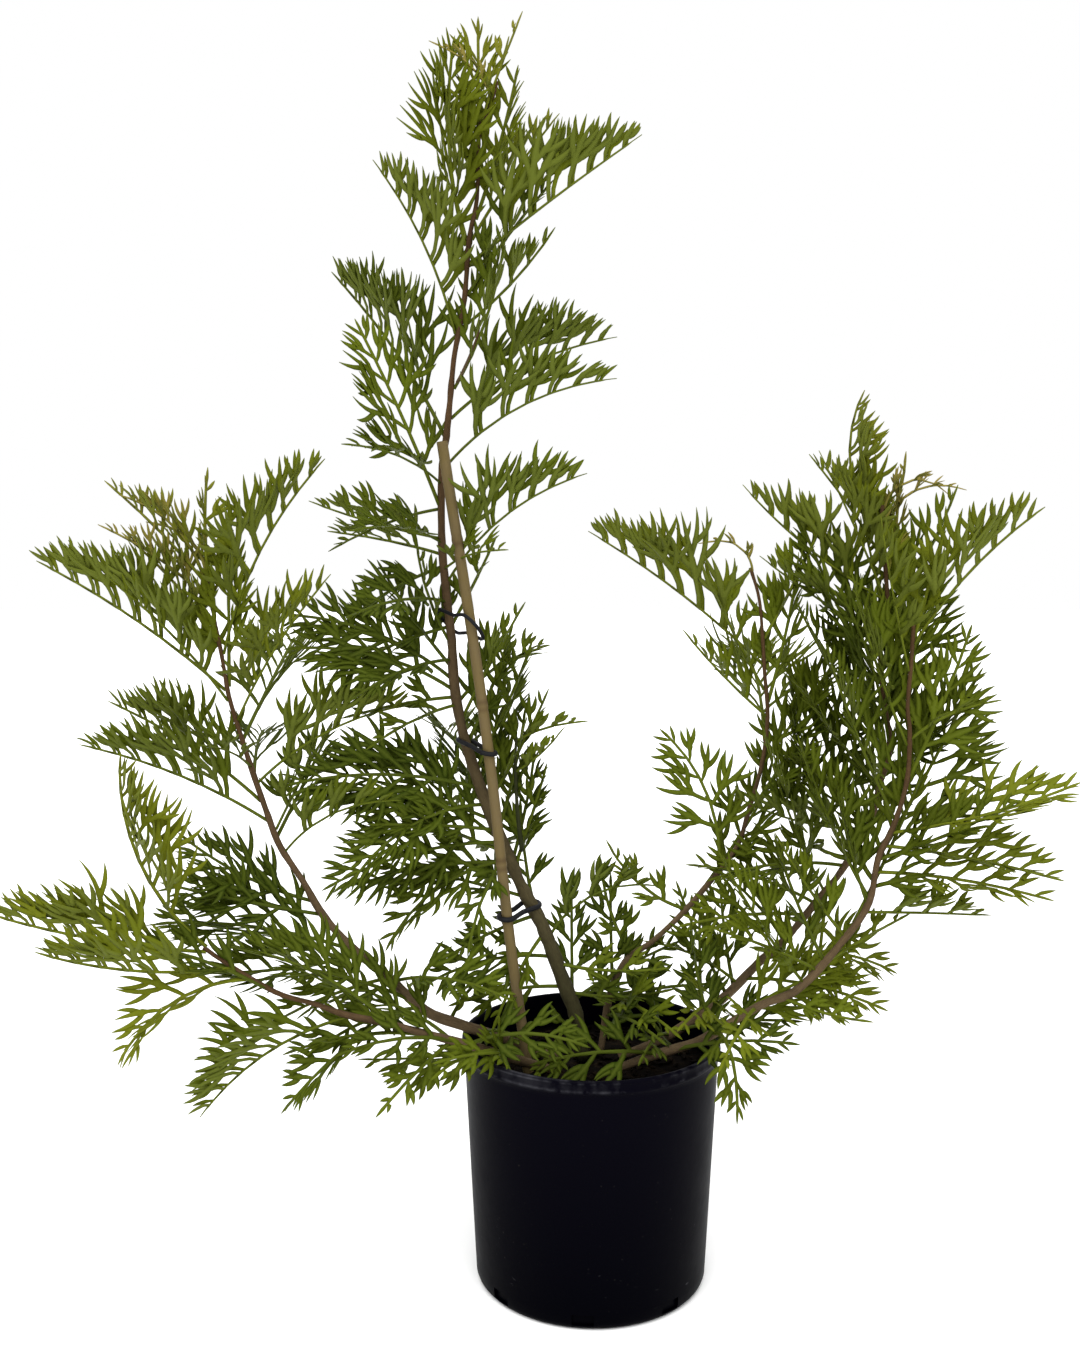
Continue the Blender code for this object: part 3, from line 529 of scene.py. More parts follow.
fillLeaves = {
    "leader": [
        (0.862, 90, 80, 90, 88, 0.095, 0, 35, 0.34), (0.815, 10, 70, 0, 78, 0.11, 50, 35, 0.6),
        (0.8, 170, 75, 180, 82, 0.118, 30, 60, 0.52), (0.76, 350, 56, 0, 48, 0.095, 50, 40, 0.88),
        (0.69, 345, 58, 355, 84, 0.12, 45, 40, 0.84), (0.555, 300, 20, 310, 0, 0.075, 20, 40, 0.74),
        (0.5, 200, 60, 190, 82, 0.07, 40, 40, 0.92), (0.462, 192, 34, 186, -6, 0.13, 60, 15, 0.92),
        (0.456, 186, -4, 180, -16, 0.075, 40, 30, 0.86), (0.45, 218, -8, 205, -32, 0.07, 20, 30, 0.84),
        (0.335, 184, 22, 180, 26, 0.098, 40, 40, 0.88), (0.328, 200, -4, 195, -62, 0.115, 40, 25, 0.9),
        (0.332, 240, -28, 235, -72, 0.075, 20, 30, 0.95), (0.352, 200, 10, 195, 2, 0.09, 50, 30, 0.92),
        (0.322, 20, 70, 10, 74, 0.072, 40, 40, 0.86), (0.285, 200, -12, 195, -28, 0.062, 70, 20, 0.96),
        (0.27, 215, -44, 220, -62, 0.072, 30, 30, 0.8), (0.245, 345, -8, 0, 6, 0.075, 30, 30, 0.78),
        (0.228, 190, 5, 186, -18, 0.08, 60, -20, 0.88), (0.222, 350, -8, 0, 12, 0.07, 30, 30, 0.92),
        (0.205, 250, -5, 240, -30, 0.075, 30, 30, 0.95), (0.252, 195, 10, 190, -30, 0.104, 60, 10, 1.0),
        (0.215, 20, 30, 10, 20, 0.09, 50, 20, 1.0), (0.4, 10, 62, 5, 70, 0.1, 40, 30, 0.86),
        (0.372, 350, 58, 355, 66, 0.092, 40, 30, 0.86), (0.512, 20, 60, 15, 64, 0.064, 30, 45, 0.82),
        (0.385, 188, 16, 184, -14, 0.15, 70, 12, 0.98), (0.36, 182, 24, 182, 8, 0.146, 60, 15, 0.98),
        (0.342, 190, 2, 186, -30, 0.14, 60, 15, 0.95), (0.325, 185, 6, 182, -20, 0.112, 60, 20, 0.9),
        (0.905, 200, 60, 190, 20, 0.045, 40, 40, 0.1), (0.362, 120, 40, 130, 30, 0.1, 0, 30, 1.0),
        (0.39, 60, 50, 70, 40, 0.1, 0, 30, 0.96), (0.42, 30, 62, 20, 72, 0.09, 30, 30, 0.96),
        (0.352, 20, 72, 10, 82, 0.088, 40, 30, 0.96), (0.3, 190, 20, 180, 10, 0.08, 40, 25, 0.98),
        (0.8, 20, 60, 10, 50, 0.112, 20, 60, 0.36), (0.6, 184, -10, 180, -30, 0.078, 30, 35, 0.92),
        (0.556, 182, -20, 178, -40, 0.084, 40, 30, 0.96), (0.51, 190, -14, 184, -30, 0.084, 40, 30, 0.96),
        (0.48, 175, 50, 178, 60, 0.09, 40, 30, 0.96), (0.372, 80, 60, 70, 80, 0.086, 10, 30, 0.98),
        (0.326, 60, 60, 50, 80, 0.086, 10, 30, 0.98), (0.29, 110, 50, 100, 70, 0.08, 10, 30, 0.98),
        (0.62, 232, 30, 222, 0, 0.088, 30, 25, 0.92), (0.575, 238, 20, 228, -10, 0.088, 30, 25, 0.94),
        (0.53, 232, 10, 222, -20, 0.09, 30, 25, 0.96), (0.485, 226, 0, 216, -30, 0.09, 30, 25, 0.98),
        (0.405, 100, -20, 95, -50, 0.1, 0, 25, 1.0), (0.35, 95, -30, 90, -60, 0.1, 0, 25, 1.0),
        (0.215, 90, 60, 90, 80, 0.086, 0, 25, 1.0),
    ],
    "left": [
        (0.53, 184, 48, 180, 24, 0.092, 15, 55, 0.14), (0.545, 165, 84, 175, 96, 0.072, 30, 40, 0.34),
        (0.465, 95, 84, 90, 88, 0.11, 0, 35, 0.6), (0.29, 184, 10, 180, 14, 0.118, 50, 30, 1.0),
        (0.262, 182, 20, 180, -4, 0.15, 40, 30, 0.96), (0.258, 178, -14, 182, 2, 0.125, 30, 30, 0.92),
        (0.455, 200, 56, 190, 40, 0.12, 20, 60, 0.66), (0.405, 260, 30, 250, 10, 0.07, 20, 40, 0.8),
        (0.355, 30, 62, 10, 60, 0.085, -40, 40, 0.74), (0.205, 60, 40, 40, 10, 0.074, 50, 20, 0.95),
        (0.195, 300, 24, 310, -10, 0.072, 40, 20, 1.0), (0.55, 150, 80, 178, 10, 0.055, 30, 60, 0.12),
        (0.5, 178, 60, 182, 40, 0.1, 20, 50, 0.24), (0.24, 190, -10, 186, -30, 0.09, 30, 35, 0.82),
        (0.222, 200, 30, 190, 10, 0.1, 50, 25, 0.92), (0.398, 100, 20, 95, 0, 0.11, 0, 30, 0.9),
        (0.35, 70, 40, 60, 50, 0.1, 10, 30, 0.9), (0.236, 330, 20, 340, -20, 0.096, 30, 30, 0.9),
        (0.216, 230, 14, 210, -26, 0.09, 40, 25, 0.94), (0.545, 180, 52, 178, 40, 0.096, 20, 55, 0.3),
    ],
    "low": [
        (0.262, 184, -2, 190, -62, 0.11, 40, 20, 0.4), (0.196, 184, -8, 180, 0, 0.08, 10, -65, 0.82),
        (0.224, 176, 42, 182, 8, 0.13, 30, 40, 0.9), (0.255, 184, 30, 182, 10, 0.1, 40, 40, 0.95),
        (0.186, 250, 34, 200, -8, 0.07, 50, 20, 0.82), (0.2, 340, 28, 350, -18, 0.086, 60, 10, 1.0),
        (0.186, 230, 38, 220, -24, 0.072, 50, 15, 0.8), (0.193, 205, -2, 196, -12, 0.07, 70, 10, 0.8),
        (0.206, 225, -20, 215, -40, 0.064, 50, 20, 0.8), (0.214, 190, 10, 186, -20, 0.095, 30, 40, 0.8),
        (0.206, 150, 30, 160, -10, 0.1, 30, 30, 0.9), (0.204, 215, 24, 200, -16, 0.09, 40, 25, 0.94),
        (0.226, 200, -30, 190, -50, 0.084, 30, 30, 0.88),
    ],
    "inner": [
        (0.46, 186, 60, 182, 64, 0.092, 40, 40, 0.7), (0.45, 10, 74, 8, 82, 0.105, 40, 35, 0.76),
        (0.247, 180, 58, 182, 84, 0.072, 60, 25, 0.86), (0.285, 190, 20, 180, 60, 0.075, 40, 25, 0.76),
        (0.215, 300, 10, 310, -20, 0.075, 30, 30, 0.76), (0.215, 355, 14, 5, 0, 0.08, 70, 10, 1.0),
        (0.222, 120, 84, 110, 90, 0.08, 40, 20, 1.0), (0.2, 290, 20, 300, -10, 0.08, 50, 20, 1.0),
        (0.3, 20, 50, 15, 60, 0.118, 40, 30, 0.82), (0.362, 10, 55, 5, 62, 0.108, 40, 30, 0.86),
        (0.5, 10, 60, 5, 66, 0.092, 30, 40, 0.62), (0.402, 20, 50, 10, 56, 0.108, 40, 40, 0.8),
        (0.552, 180, 84, 182, -10, 0.042, 20, 60, 0.08),
    ],
    "middle": [
        (0.59, 0, 66, 0, -15, 0.065, 20, 40, 0.02), (0.55, 15, 74, 20, 96, 0.072, 30, 30, 0.18),
        (0.52, 170, 74, 172, 80, 0.1, 20, 50, 0.56), (0.5, 190, 30, 188, 36, 0.11, 20, 55, 0.76),
        (0.385, 188, 46, 184, 56, 0.125, 40, 30, 0.8), (0.355, 182, 32, 180, 42, 0.1, 20, 50, 0.76),
        (0.32, 190, 10, 188, -18, 0.105, 40, 30, 0.84), (0.29, 180, 30, 185, 5, 0.1, 30, 40, 0.8),
        (0.26, 176, 60, 180, 30, 0.08, 40, 40, 0.72), (0.225, 170, 40, 180, 10, 0.07, 20, 40, 0.72),
        (0.19, 325, 24, 335, 4, 0.096, 40, 20, 1.0), (0.202, 100, 80, 100, 88, 0.066, 20, 20, 1.0),
        (0.3, 200, 60, 190, 75, 0.138, 40, 30, 0.86), (0.33, 150, 62, 160, 78, 0.148, 35, 30, 0.9),
        (0.345, 20, 66, 15, 75, 0.14, 40, 30, 0.9), (0.37, 340, 50, 345, 60, 0.13, 40, 35, 0.86),
        (0.395, 110, 75, 100, 88, 0.15, 0, 30, 0.92), (0.41, 200, 50, 195, 62, 0.14, 50, 25, 0.94),
        (0.44, 30, 60, 20, 66, 0.12, 45, 30, 0.86), (0.465, 170, 58, 175, 70, 0.148, 60, 20, 0.9),
        (0.482, 10, 70, 5, 80, 0.1, 50, 30, 0.76), (0.505, 330, 60, 340, 70, 0.118, 40, 35, 0.7),
        (0.53, 200, 64, 195, 60, 0.124, 30, 50, 0.52), (0.212, 250, 20, 240, -10, 0.098, 40, 20, 0.6),
        (0.23, 330, 10, 340, -20, 0.108, 40, 20, 0.62), (0.245, 20, 10, 10, -30, 0.118, 50, 20, 0.66),
        (0.28, 200, 10, 195, -10, 0.1, 50, 20, 0.72), (0.216, 160, 60, 170, 70, 0.088, 50, 20, 0.82),
        (0.6, 0, 80, 0, -40, 0.055, 20, 60, 0.06), (0.582, 10, 62, 5, 85, 0.052, 20, 50, 0.22),
        (0.184, 120, 30, 140, 10, 0.084, 40, 15, 1.0), (0.186, 250, 24, 250, -12, 0.076, 50, 15, 1.0),
        (0.222, 100, 50, 90, 60, 0.086, 20, 30, 0.92), (0.33, 60, 40, 50, 50, 0.1, 20, 30, 0.92),
        (0.562, 160, 60, 165, 50, 0.09, 20, 50, 0.62),
    ],
    "outer": [
        (0.43, 355, 42, 0, 10, 0.06, 20, 40, 0.72), (0.47, 50, 76, 60, 84, 0.1, 20, 40, 0.76),
        (0.35, 340, -2, 345, -14, 0.12, 30, 35, 0.6), (0.3, 0, 0, 0, -3, 0.085, 10, 55, 0.7),
        (0.262, 0, 34, 0, 28, 0.06, 20, 30, 0.72), (0.235, 335, -18, 345, -4, 0.055, 20, 30, 0.72),
        (0.204, 285, 24, 270, -88, 0.084, 40, 20, 0.82), (0.34, 350, 20, 355, 30, 0.1, 40, 40, 0.82),
        (0.28, 170, 50, 175, 60, 0.08, 30, 40, 0.76), (0.186, 200, 14, 190, -12, 0.092, 60, 10, 1.0),
        (0.19, 345, 20, 355, -6, 0.088, 50, 20, 1.0), (0.204, 180, 72, 180, 84, 0.076, 50, 20, 1.0),
        (0.245, 200, 50, 190, 62, 0.118, 40, 30, 0.8), (0.29, 10, 62, 5, 70, 0.128, 45, 30, 0.82),
        (0.31, 170, 60, 175, 72, 0.128, 40, 30, 0.86), (0.345, 30, 50, 20, 62, 0.146, 60, 20, 0.86),
        (0.37, 190, 62, 185, 72, 0.138, 40, 30, 0.86), (0.4, 15, 62, 10, 72, 0.118, 60, 20, 0.76),
        (0.425, 180, 66, 182, 76, 0.128, 40, 35, 0.8), (0.48, 200, 74, 190, 80, 0.108, 30, 40, 0.6),
        (0.505, 20, 72, 15, 76, 0.078, 30, 40, 0.52), (0.21, 20, 30, 10, 10, 0.108, 50, 25, 0.66),
        (0.225, 250, 10, 240, -30, 0.08, 40, 20, 0.6), (0.255, 210, 30, 200, 20, 0.09, 40, 25, 0.72),
        (0.262, 150, 60, 140, 70, 0.09, 20, 30, 0.9), (0.306, 170, 70, 170, 80, 0.09, 30, 30, 0.9),
    ],
    "green_twig": [
        (0.424, 350, 30, 0, 5, 0.045, 20, 40, 0.78), (0.4, 330, 30, 350, 50, 0.04, 20, 40, 0.8),
    ],
}

stemStyle = {"sides": 12, "ringSpacing": 0.004, "roughness": 0.10, "jointSwell": 0.45, "jointSpan": 0.006}
nodeNames = set(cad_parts)


def makeStem(name, footRadius, tipRadius, green, points, joints):
    path = smoothPath(points, 5)
    resampled = [path[0]]
    for p in path[1:]:
        if (p - resampled[-1]).length >= stemStyle["ringSpacing"] * 0.9:
            resampled.append(p)
    resampled[-1] = path[-1]
    low, high = points[0][2], points[-1][2]
    radii, grown, greenness = [], [], []
    draw = random.Random(name)
    shift = draw.uniform(0, 40)
    for p in resampled:
        t = min(1.0, max(0.0, (p.z - low) / (high - low)))
        radius = tipRadius + (footRadius - tipRadius) * (1.0 - t) ** 1.5
        swell = max([math.exp(-((p.z - z) / stemStyle["jointSpan"]) ** 2) for z in joints] or [0.0])
        radius *= 1.0 + stemStyle["jointSwell"] * 0.5 * swell
        ring = []
        for k in range(stemStyle["sides"]):
            angle = 2 * math.pi * k / stemStyle["sides"]
            wobble = noise.noise(Vector((math.cos(angle) * 1.3, math.sin(angle) * 1.3, p.z * 90 + shift)))
            ring.append(radius * (1.0 + stemStyle["roughness"] * wobble))
        radii.append(ring)
        grown.append(min(1.0, max(0.0, (t - 0.15) * 1.8)))
        greenness.append(green * max(0.0, 1.0 - 2.0 * t) if name == "leader" else green)
    bm = sweepTube(resampled, radii, stemStyle["sides"], {"grown": grown, "green": greenness})
    node = name if name in nodeNames else f"{name}_stem"
    finishPiece(f"{name}_bark", bm, stemBark, [node])


stemPaths = {}
for shoot, (footRadius, tipRadius, green, points) in shoots.items():
    steps = 1 if len(points) > 8 else 2
    stemPaths[shoot] = (footRadius, smoothPath(points, steps))
    joints = [row[0] for row in mainLeaves.get(shoot, []) + fillLeaves.get(shoot, [])]
    makeStem(shoot, footRadius, tipRadius, green, points, joints)
print("stems ready")


# Leaves. Each is drawn flat by extruding edges from a midrib strip, then bent.

leafStyle = {
    "bareStalk": 0.21,       # share of the midrib with no lobes
    "lobeSpacing": 0.0178,
    "longestLobe": 0.49,     # reach over leaf length, at the first pair
    "shortestLobe": 0.120,   # and at the last pair
    "lobeAngle": 54.0,
    "sweep": 22.0,           # how much a lobe curves forward
    "forkAngle": 35.0,
    "palmWidth": 0.0034,
    "fingerWidth": 0.0021,
    "keel": 0.30,            # how far margins stand above the middle vein
    "tipCurl": 26.0,         # extra curl of newly opened lobes
    "thickness": 0.0018,
    "thinShare": 0.24,       # thickness of the margins over that of the midrib
    "midribHalf": 0.0011,
    "curlRate": 22.0,        # curl and twist gained for each metre along a lobe
    "bendSteps": 24,
}

# Outlines along a blade: share of its reach and half width over the palm width.
# Forks: the three stations a side finger grows from, its side and share of the reach.
blades = {
    "large": ([(0.12, 0.54), (0.24, 0.52), (0.31, 0.62), (0.35, 0.88), (0.39, 0.96), (0.43, 0.86),
               (0.48, 0.66), (0.54, 0.68), (0.58, 0.80), (0.62, 0.74), (0.70, 0.60), (0.82, 0.48),
               (0.92, 0.24), (1.0, 0.02)],
              [((2, 3, 4), 1, 0.66), ((4, 5, 6), -1, 0.58), ((7, 8, 9), 1, 0.42)]),
    "middle": ([(0.14, 0.54), (0.27, 0.54), (0.34, 0.76), (0.39, 0.94), (0.44, 0.88), (0.50, 0.74),
                (0.57, 0.64), (0.70, 0.56), (0.83, 0.40), (0.93, 0.20), (1.0, 0.02)],
               [((2, 3, 4), 1, 0.62), ((4, 5, 6), -1, 0.55)]),
    "small": ([(0.18, 0.58), (0.31, 0.76), (0.38, 0.88), (0.46, 0.76), (0.64, 0.58), (0.80, 0.42),
               (0.92, 0.20), (1.0, 0.02)],
              [((1, 2, 3), 1, 0.60)]),
    "tiny": ([(0.26, 0.58), (0.50, 0.56), (0.74, 0.42), (0.90, 0.20), (1.0, 0.02)], []),
    "finger": ([(0.12, 0.98), (0.30, 0.98), (0.52, 0.84), (0.74, 0.60), (0.89, 0.30), (1.0, 0.03)], []),
    "forkedFinger": ([(0.12, 0.94), (0.24, 1.00), (0.31, 1.08), (0.38, 0.94), (0.56, 0.78), (0.76, 0.54),
                      (0.90, 0.26), (1.0, 0.03)],
                     [((1, 2, 3), 1, 0.60)]),
}
lobeKinds = ((0.040, "large"), (0.028, "middle"), (0.018, "small"), (0.0, "tiny"))


def extrudeRow(bm, row):
    edges = [bm.edges.get((a, b)) for a, b in zip(row[:-1], row[1:])]
    made = set(v for v in bmesh.ops.extrude_edge_only(bm, edges=edges)["geom"]
               if isinstance(v, bmesh.types.BMVert))
    return [next(e.other_vert(v) for e in v.link_edges if e.other_vert(v) in made) for v in row]


def drawLeaf(length, age, draw):
    bm = bmesh.new()
    lobeLayer = bm.verts.layers.int.new("lobe")
    rib = bm.verts.layers.float.new("rib")
    thick = bm.verts.layers.float.new("thick")
    slim = 0.40 + 0.60 * min(1.0, age / 0.45)
    size = 1.0 + 0.10 * max(0.0, 0.12 - length) / 0.06
    bare = length * leafStyle["bareStalk"]
    opened = min(1.0, age / 0.35)
    spacing = leafStyle["lobeSpacing"] * (0.55 + 0.45 * size) * (0.60 + 0.40 * opened)
    pairs = max(3, round((length - bare) / spacing))
    breadth = draw.uniform(0.90, 1.06) * (0.72 + 0.28 * opened)
    lobes = [None]  # per lobe: where it leaves the midrib, change of fold, twist

    def put(vert, x, y, z, lobe, ribValue, thickValue):
        vert.co = (x, y, z)
        vert[lobeLayer] = lobe
        vert[rib] = ribValue
        vert[thick] = thickValue

    def midribRow(row, x):
        half = leafStyle["midribHalf"] * size * (1.0 - 0.3 * x / length) + 0.0002
        for vert, side in zip(row, (-1, 0, 1)):
            put(vert, x, side * half, -0.3 * half * abs(side), 0, 0.8, 1.0 - 0.6 * x / length)

    # Grows a tapering blade from a row of three points, with its own side fingers.
    def growBlade(row, start, heading, reach, half, lobe, bend, rise, kind, flip):
        outline, forks = blades[kind]
        rows = []
        for part, width in outline:
            row = extrudeRow(bm, row)
            turned = heading + bend * part
            middle = heading + bend * part * 0.5
            p = start + reach * part * Vector((math.cos(middle), math.sin(middle)))
            out = Vector((-math.sin(turned), math.cos(turned)))
            for vert, side in zip(row, (-1, 0, 1)):
                at = p + out * (half * width * side)
                keel = leafStyle["keel"] * half * width if side else 0.0
                put(vert, at.x, at.y, rise * part * part + keel, lobe, 0.0 if side else 0.9,
                    0.0 if side else 0.10)
            rows.append((row, p, turned))
        for spots, hand, share in forks:
            hand *= flip
            edge = [rows[s][0][2 if hand > 0 else 0] for s in spots]
            if hand > 0:
                edge = edge[::-1]
            _, p, turned = rows[spots[1]]
            turnOut = math.radians(leafStyle["forkAngle"] + draw.gauss(0, 5.0)) * hand
            foot = p + (Vector((edge[1].co.x, edge[1].co.y)) - p) * 0.55
            length2 = reach * share * draw.uniform(0.86, 1.12)
            inner = kind in ("large", "middle") and length2 > 0.026
            growBlade(edge, foot, turned + turnOut, length2,
                      leafStyle["fingerWidth"] * size * slim * (0.8 + 0.2 * min(1.0, length2 / 0.025)),
                      lobe, -turnOut * 0.98, rise * 0.5 + draw.gauss(0.0, 0.06) * length2,
                      "forkedFinger" if inner else "finger", hand)

    def growLobe(base, x, hand, share):
        lobe = len(lobes)
        lobes.append((x, draw.gauss(0, 7.0), draw.gauss(0, 10.0)))
        span = leafStyle["longestLobe"] - leafStyle["shortestLobe"]
        reach = length * breadth * (leafStyle["shortestLobe"] + span * (1.0 - share) ** 0.88)
        reach *= (0.72 + 0.28 * min(1.0, share / 0.20)) * draw.uniform(0.88, 1.08)
        angle = math.radians(leafStyle["lobeAngle"] + draw.gauss(0, 4.0) - 16.0 * share)
        sweep = math.radians(leafStyle["sweep"] + draw.gauss(0, 6.0)) * (1.0 - 0.4 * share)
        fullness = 0.35 + 0.65 * min(1.0, length / 0.14)
        kind = next(name for limit, name in lobeKinds if reach > limit * fullness)
        start = sum((v.co for v in base), Vector()) / len(base)
        growBlade(base if hand < 0 else base[::-1], Vector((start.x, start.y)), angle * hand, reach,
                  leafStyle["palmWidth"] * size * slim * (1.0 - 0.30 * share), lobe, -sweep * hand,
                  draw.gauss(0.0, 0.08) * reach, kind, -hand if draw.random() < 0.7 else hand)

    first = [bm.verts.new((0, side, 0)) for side in (-1, 0, 1)]
    bm.edges.new((first[0], first[1]))
    bm.edges.new((first[1], first[2]))
    midribRow(first, 0.0)
    row = first
    for x in (0.33, 0.66, 1.0):
        row = extrudeRow(bm, row)
        midribRow(row, x * bare)
    step = 0.0016 * size
    shares = [(i / (pairs - 1)) ** 0.88 for i in range(pairs)]
    shares.append(2 * shares[-1] - shares[-2])
    for i in range(pairs):
        gap = (shares[i + 1] - shares[i]) * length * (0.90 - leafStyle["bareStalk"])
        x = bare + shares[i] * length * (0.90 - leafStyle["bareStalk"]) + draw.uniform(0.04, 0.14) * gap
        for hand, shift in ((1, 0.0), (-1, 0.18 * gap)):
            spots = []
            for k in (0, 1, 2):
                row = extrudeRow(bm, row)
                midribRow(row, x + shift + step * k * (1.0 - 0.5 * shares[i]))
                spots.append(row[2 if hand > 0 else 0])
            growLobe(spots, x + shift + step, hand, shares[i])
    last = row[1].co.x
    for part, width in ((0.35, 0.0013), (0.70, 0.0009), (1.0, 0.0001)):
        row = extrudeRow(bm, row)
        x = last + max(0.012, length * 1.02 - last) * part
        for vert, side in zip(row, (-1, 0, 1)):
            put(vert, x, side * width * size, 0.0, 0, 0.5, 0.1)
    return bm, lobes


def leafFrames(foot, start, end, length, tilt):
    steps = leafStyle["bendSteps"]
    frames = []
    place = foot.copy()
    for k in range(steps + 1):
        t = k / steps
        bearing = start[0] + ((end[0] - start[0] + 180) % 360 - 180) * t
        forward = directionOf(bearing, start[1] + (end[1] - start[1]) * t)
        b = math.radians(bearing)
        right = Vector((math.sin(b), -math.cos(b), 0.0))
        normal = right.cross(forward)
        turn = math.radians(tilt if right.y < 0 else -tilt)
        up = normal * math.cos(turn) + right * math.sin(turn)
        side = right * math.cos(turn) - normal * math.sin(turn)
        frames.append((place.copy(), forward, side, up))
        place += forward * (length / steps)
    return frames


def bendLeaf(bm, lobes, frames, length, fold, age, draw):
    lobeLayer = bm.verts.layers.int["lobe"]
    tone = bm.verts.layers.float.new("tone")
    ages = bm.verts.layers.float.new("age")
    upward = bm.verts.layers.float_vector.new("upward")
    steps = len(frames) - 1
    leafTone = draw.uniform(0.25, 0.75)
    lobeTone = [leafTone + draw.uniform(-0.25, 0.25) for _ in lobes]
    curl = 3.0 + leafStyle["tipCurl"] * max(0.0, 0.35 - age) / 0.35
    for vert in bm.verts:
        x, y, z = vert.co
        lobe = vert[lobeLayer]
        station = x if lobe == 0 else lobes[lobe][0]
        t = min(1.0, max(0.0, station / length)) * steps
        low = min(steps - 1, int(t))
        mixing = t - low
        placeA, forwardA, sideA, upA = frames[low]
        placeB, forwardB, sideB, upB = frames[low + 1]
        place = placeA.lerp(placeB, mixing)
        forward = forwardA.lerp(forwardB, mixing).normalized()
        side = sideA.lerp(sideB, mixing)
        up = upA.lerp(upB, mixing)
        if lobe == 0:
            beyond = max(0.0, x - length)
            vert.co = place + forward * beyond + side * y + up * z
            vert[upward] = up
        else:
            hand = 1.0 if y > 0 else -1.0
            reach = abs(y)
            lift = math.radians(fold + lobes[lobe][1])
            lift += math.radians(curl) * reach * leafStyle["curlRate"]
            twist = math.radians(lobes[lobe][2]) * (x - station) * leafStyle["curlRate"]
            out = side * hand * math.cos(lift + twist) + up * math.sin(lift + twist)
            face = up * math.cos(lift) - side * hand * math.sin(lift)
            vert.co = place + forward * (x - station) + out * reach + face * z
            vert[upward] = face
        vert[tone] = min(1.0, max(0.0, lobeTone[lobe]))
        vert[ages] = min(1.0, max(0.0, age - 0.10 * station / length))


def makeLeaf(name, shoot, row):
    height, bearing, rise, tipBearing, tipRise, length, tilt, fold, age = row
    draw = random.Random(name)
    footRadius, path = stemPaths[shoot]
    joint, run = pointAtHeight(path, height)
    out = directionOf(bearing, rise)
    out = (out - run * out.dot(run)).normalized()
    foot = joint + out * footRadius * 0.4
    bm, lobes = drawLeaf(length, age, draw)
    frames = leafFrames(foot, (bearing, rise), (tipBearing, tipRise), length, tilt)
    bendLeaf(bm, lobes, frames, length, fold, age, draw)
    thick = bm.verts.layers.float["thick"]
    weights = [v[thick] for v in bm.verts]
    bm.verts.layers.float.remove(thick)
    bm.verts.layers.int.remove(bm.verts.layers.int["lobe"])
    piece = finishPiece(f"{name}_blade", bm, leafBlade, [name] if name in nodeNames else [])
    group = piece.vertex_groups.new(name="thick")
    for index, weight in enumerate(weights):
        if weight > 0.0:
            group.add([index], min(1.0, weight), "REPLACE")
    solid = piece.modifiers.new("bladeThickness", "SOLIDIFY")
    solid.thickness = leafStyle["thickness"] * (0.6 + 0.4 * min(1.0, length / 0.15))
    solid.offset = 0.0
    solid.vertex_group = "thick"
    solid.thickness_vertex_group = leafStyle["thinShare"]


for kind, table in (("leaf", mainLeaves), ("fill", fillLeaves)):
    for shoot, rows in table.items():
        for number, row in enumerate(rows, 1):
            makeLeaf(f"{shoot}_{kind}_{number:02d}", shoot, row)
print("leaves ready")


# Pot: turned wall with a rolled rim, and drainage notches pressed into the lower edge.

potStyle = {
    "rim": 0.1010, "base": 0.0900, "height": 0.192, "wall": 0.0022, "floor": 0.003, "band": 0.010,
    "sides": 192, "notches": 8, "notchTurn": -6.0, "notchSpan": 0.10, "notchDepth": 0.0022,
}


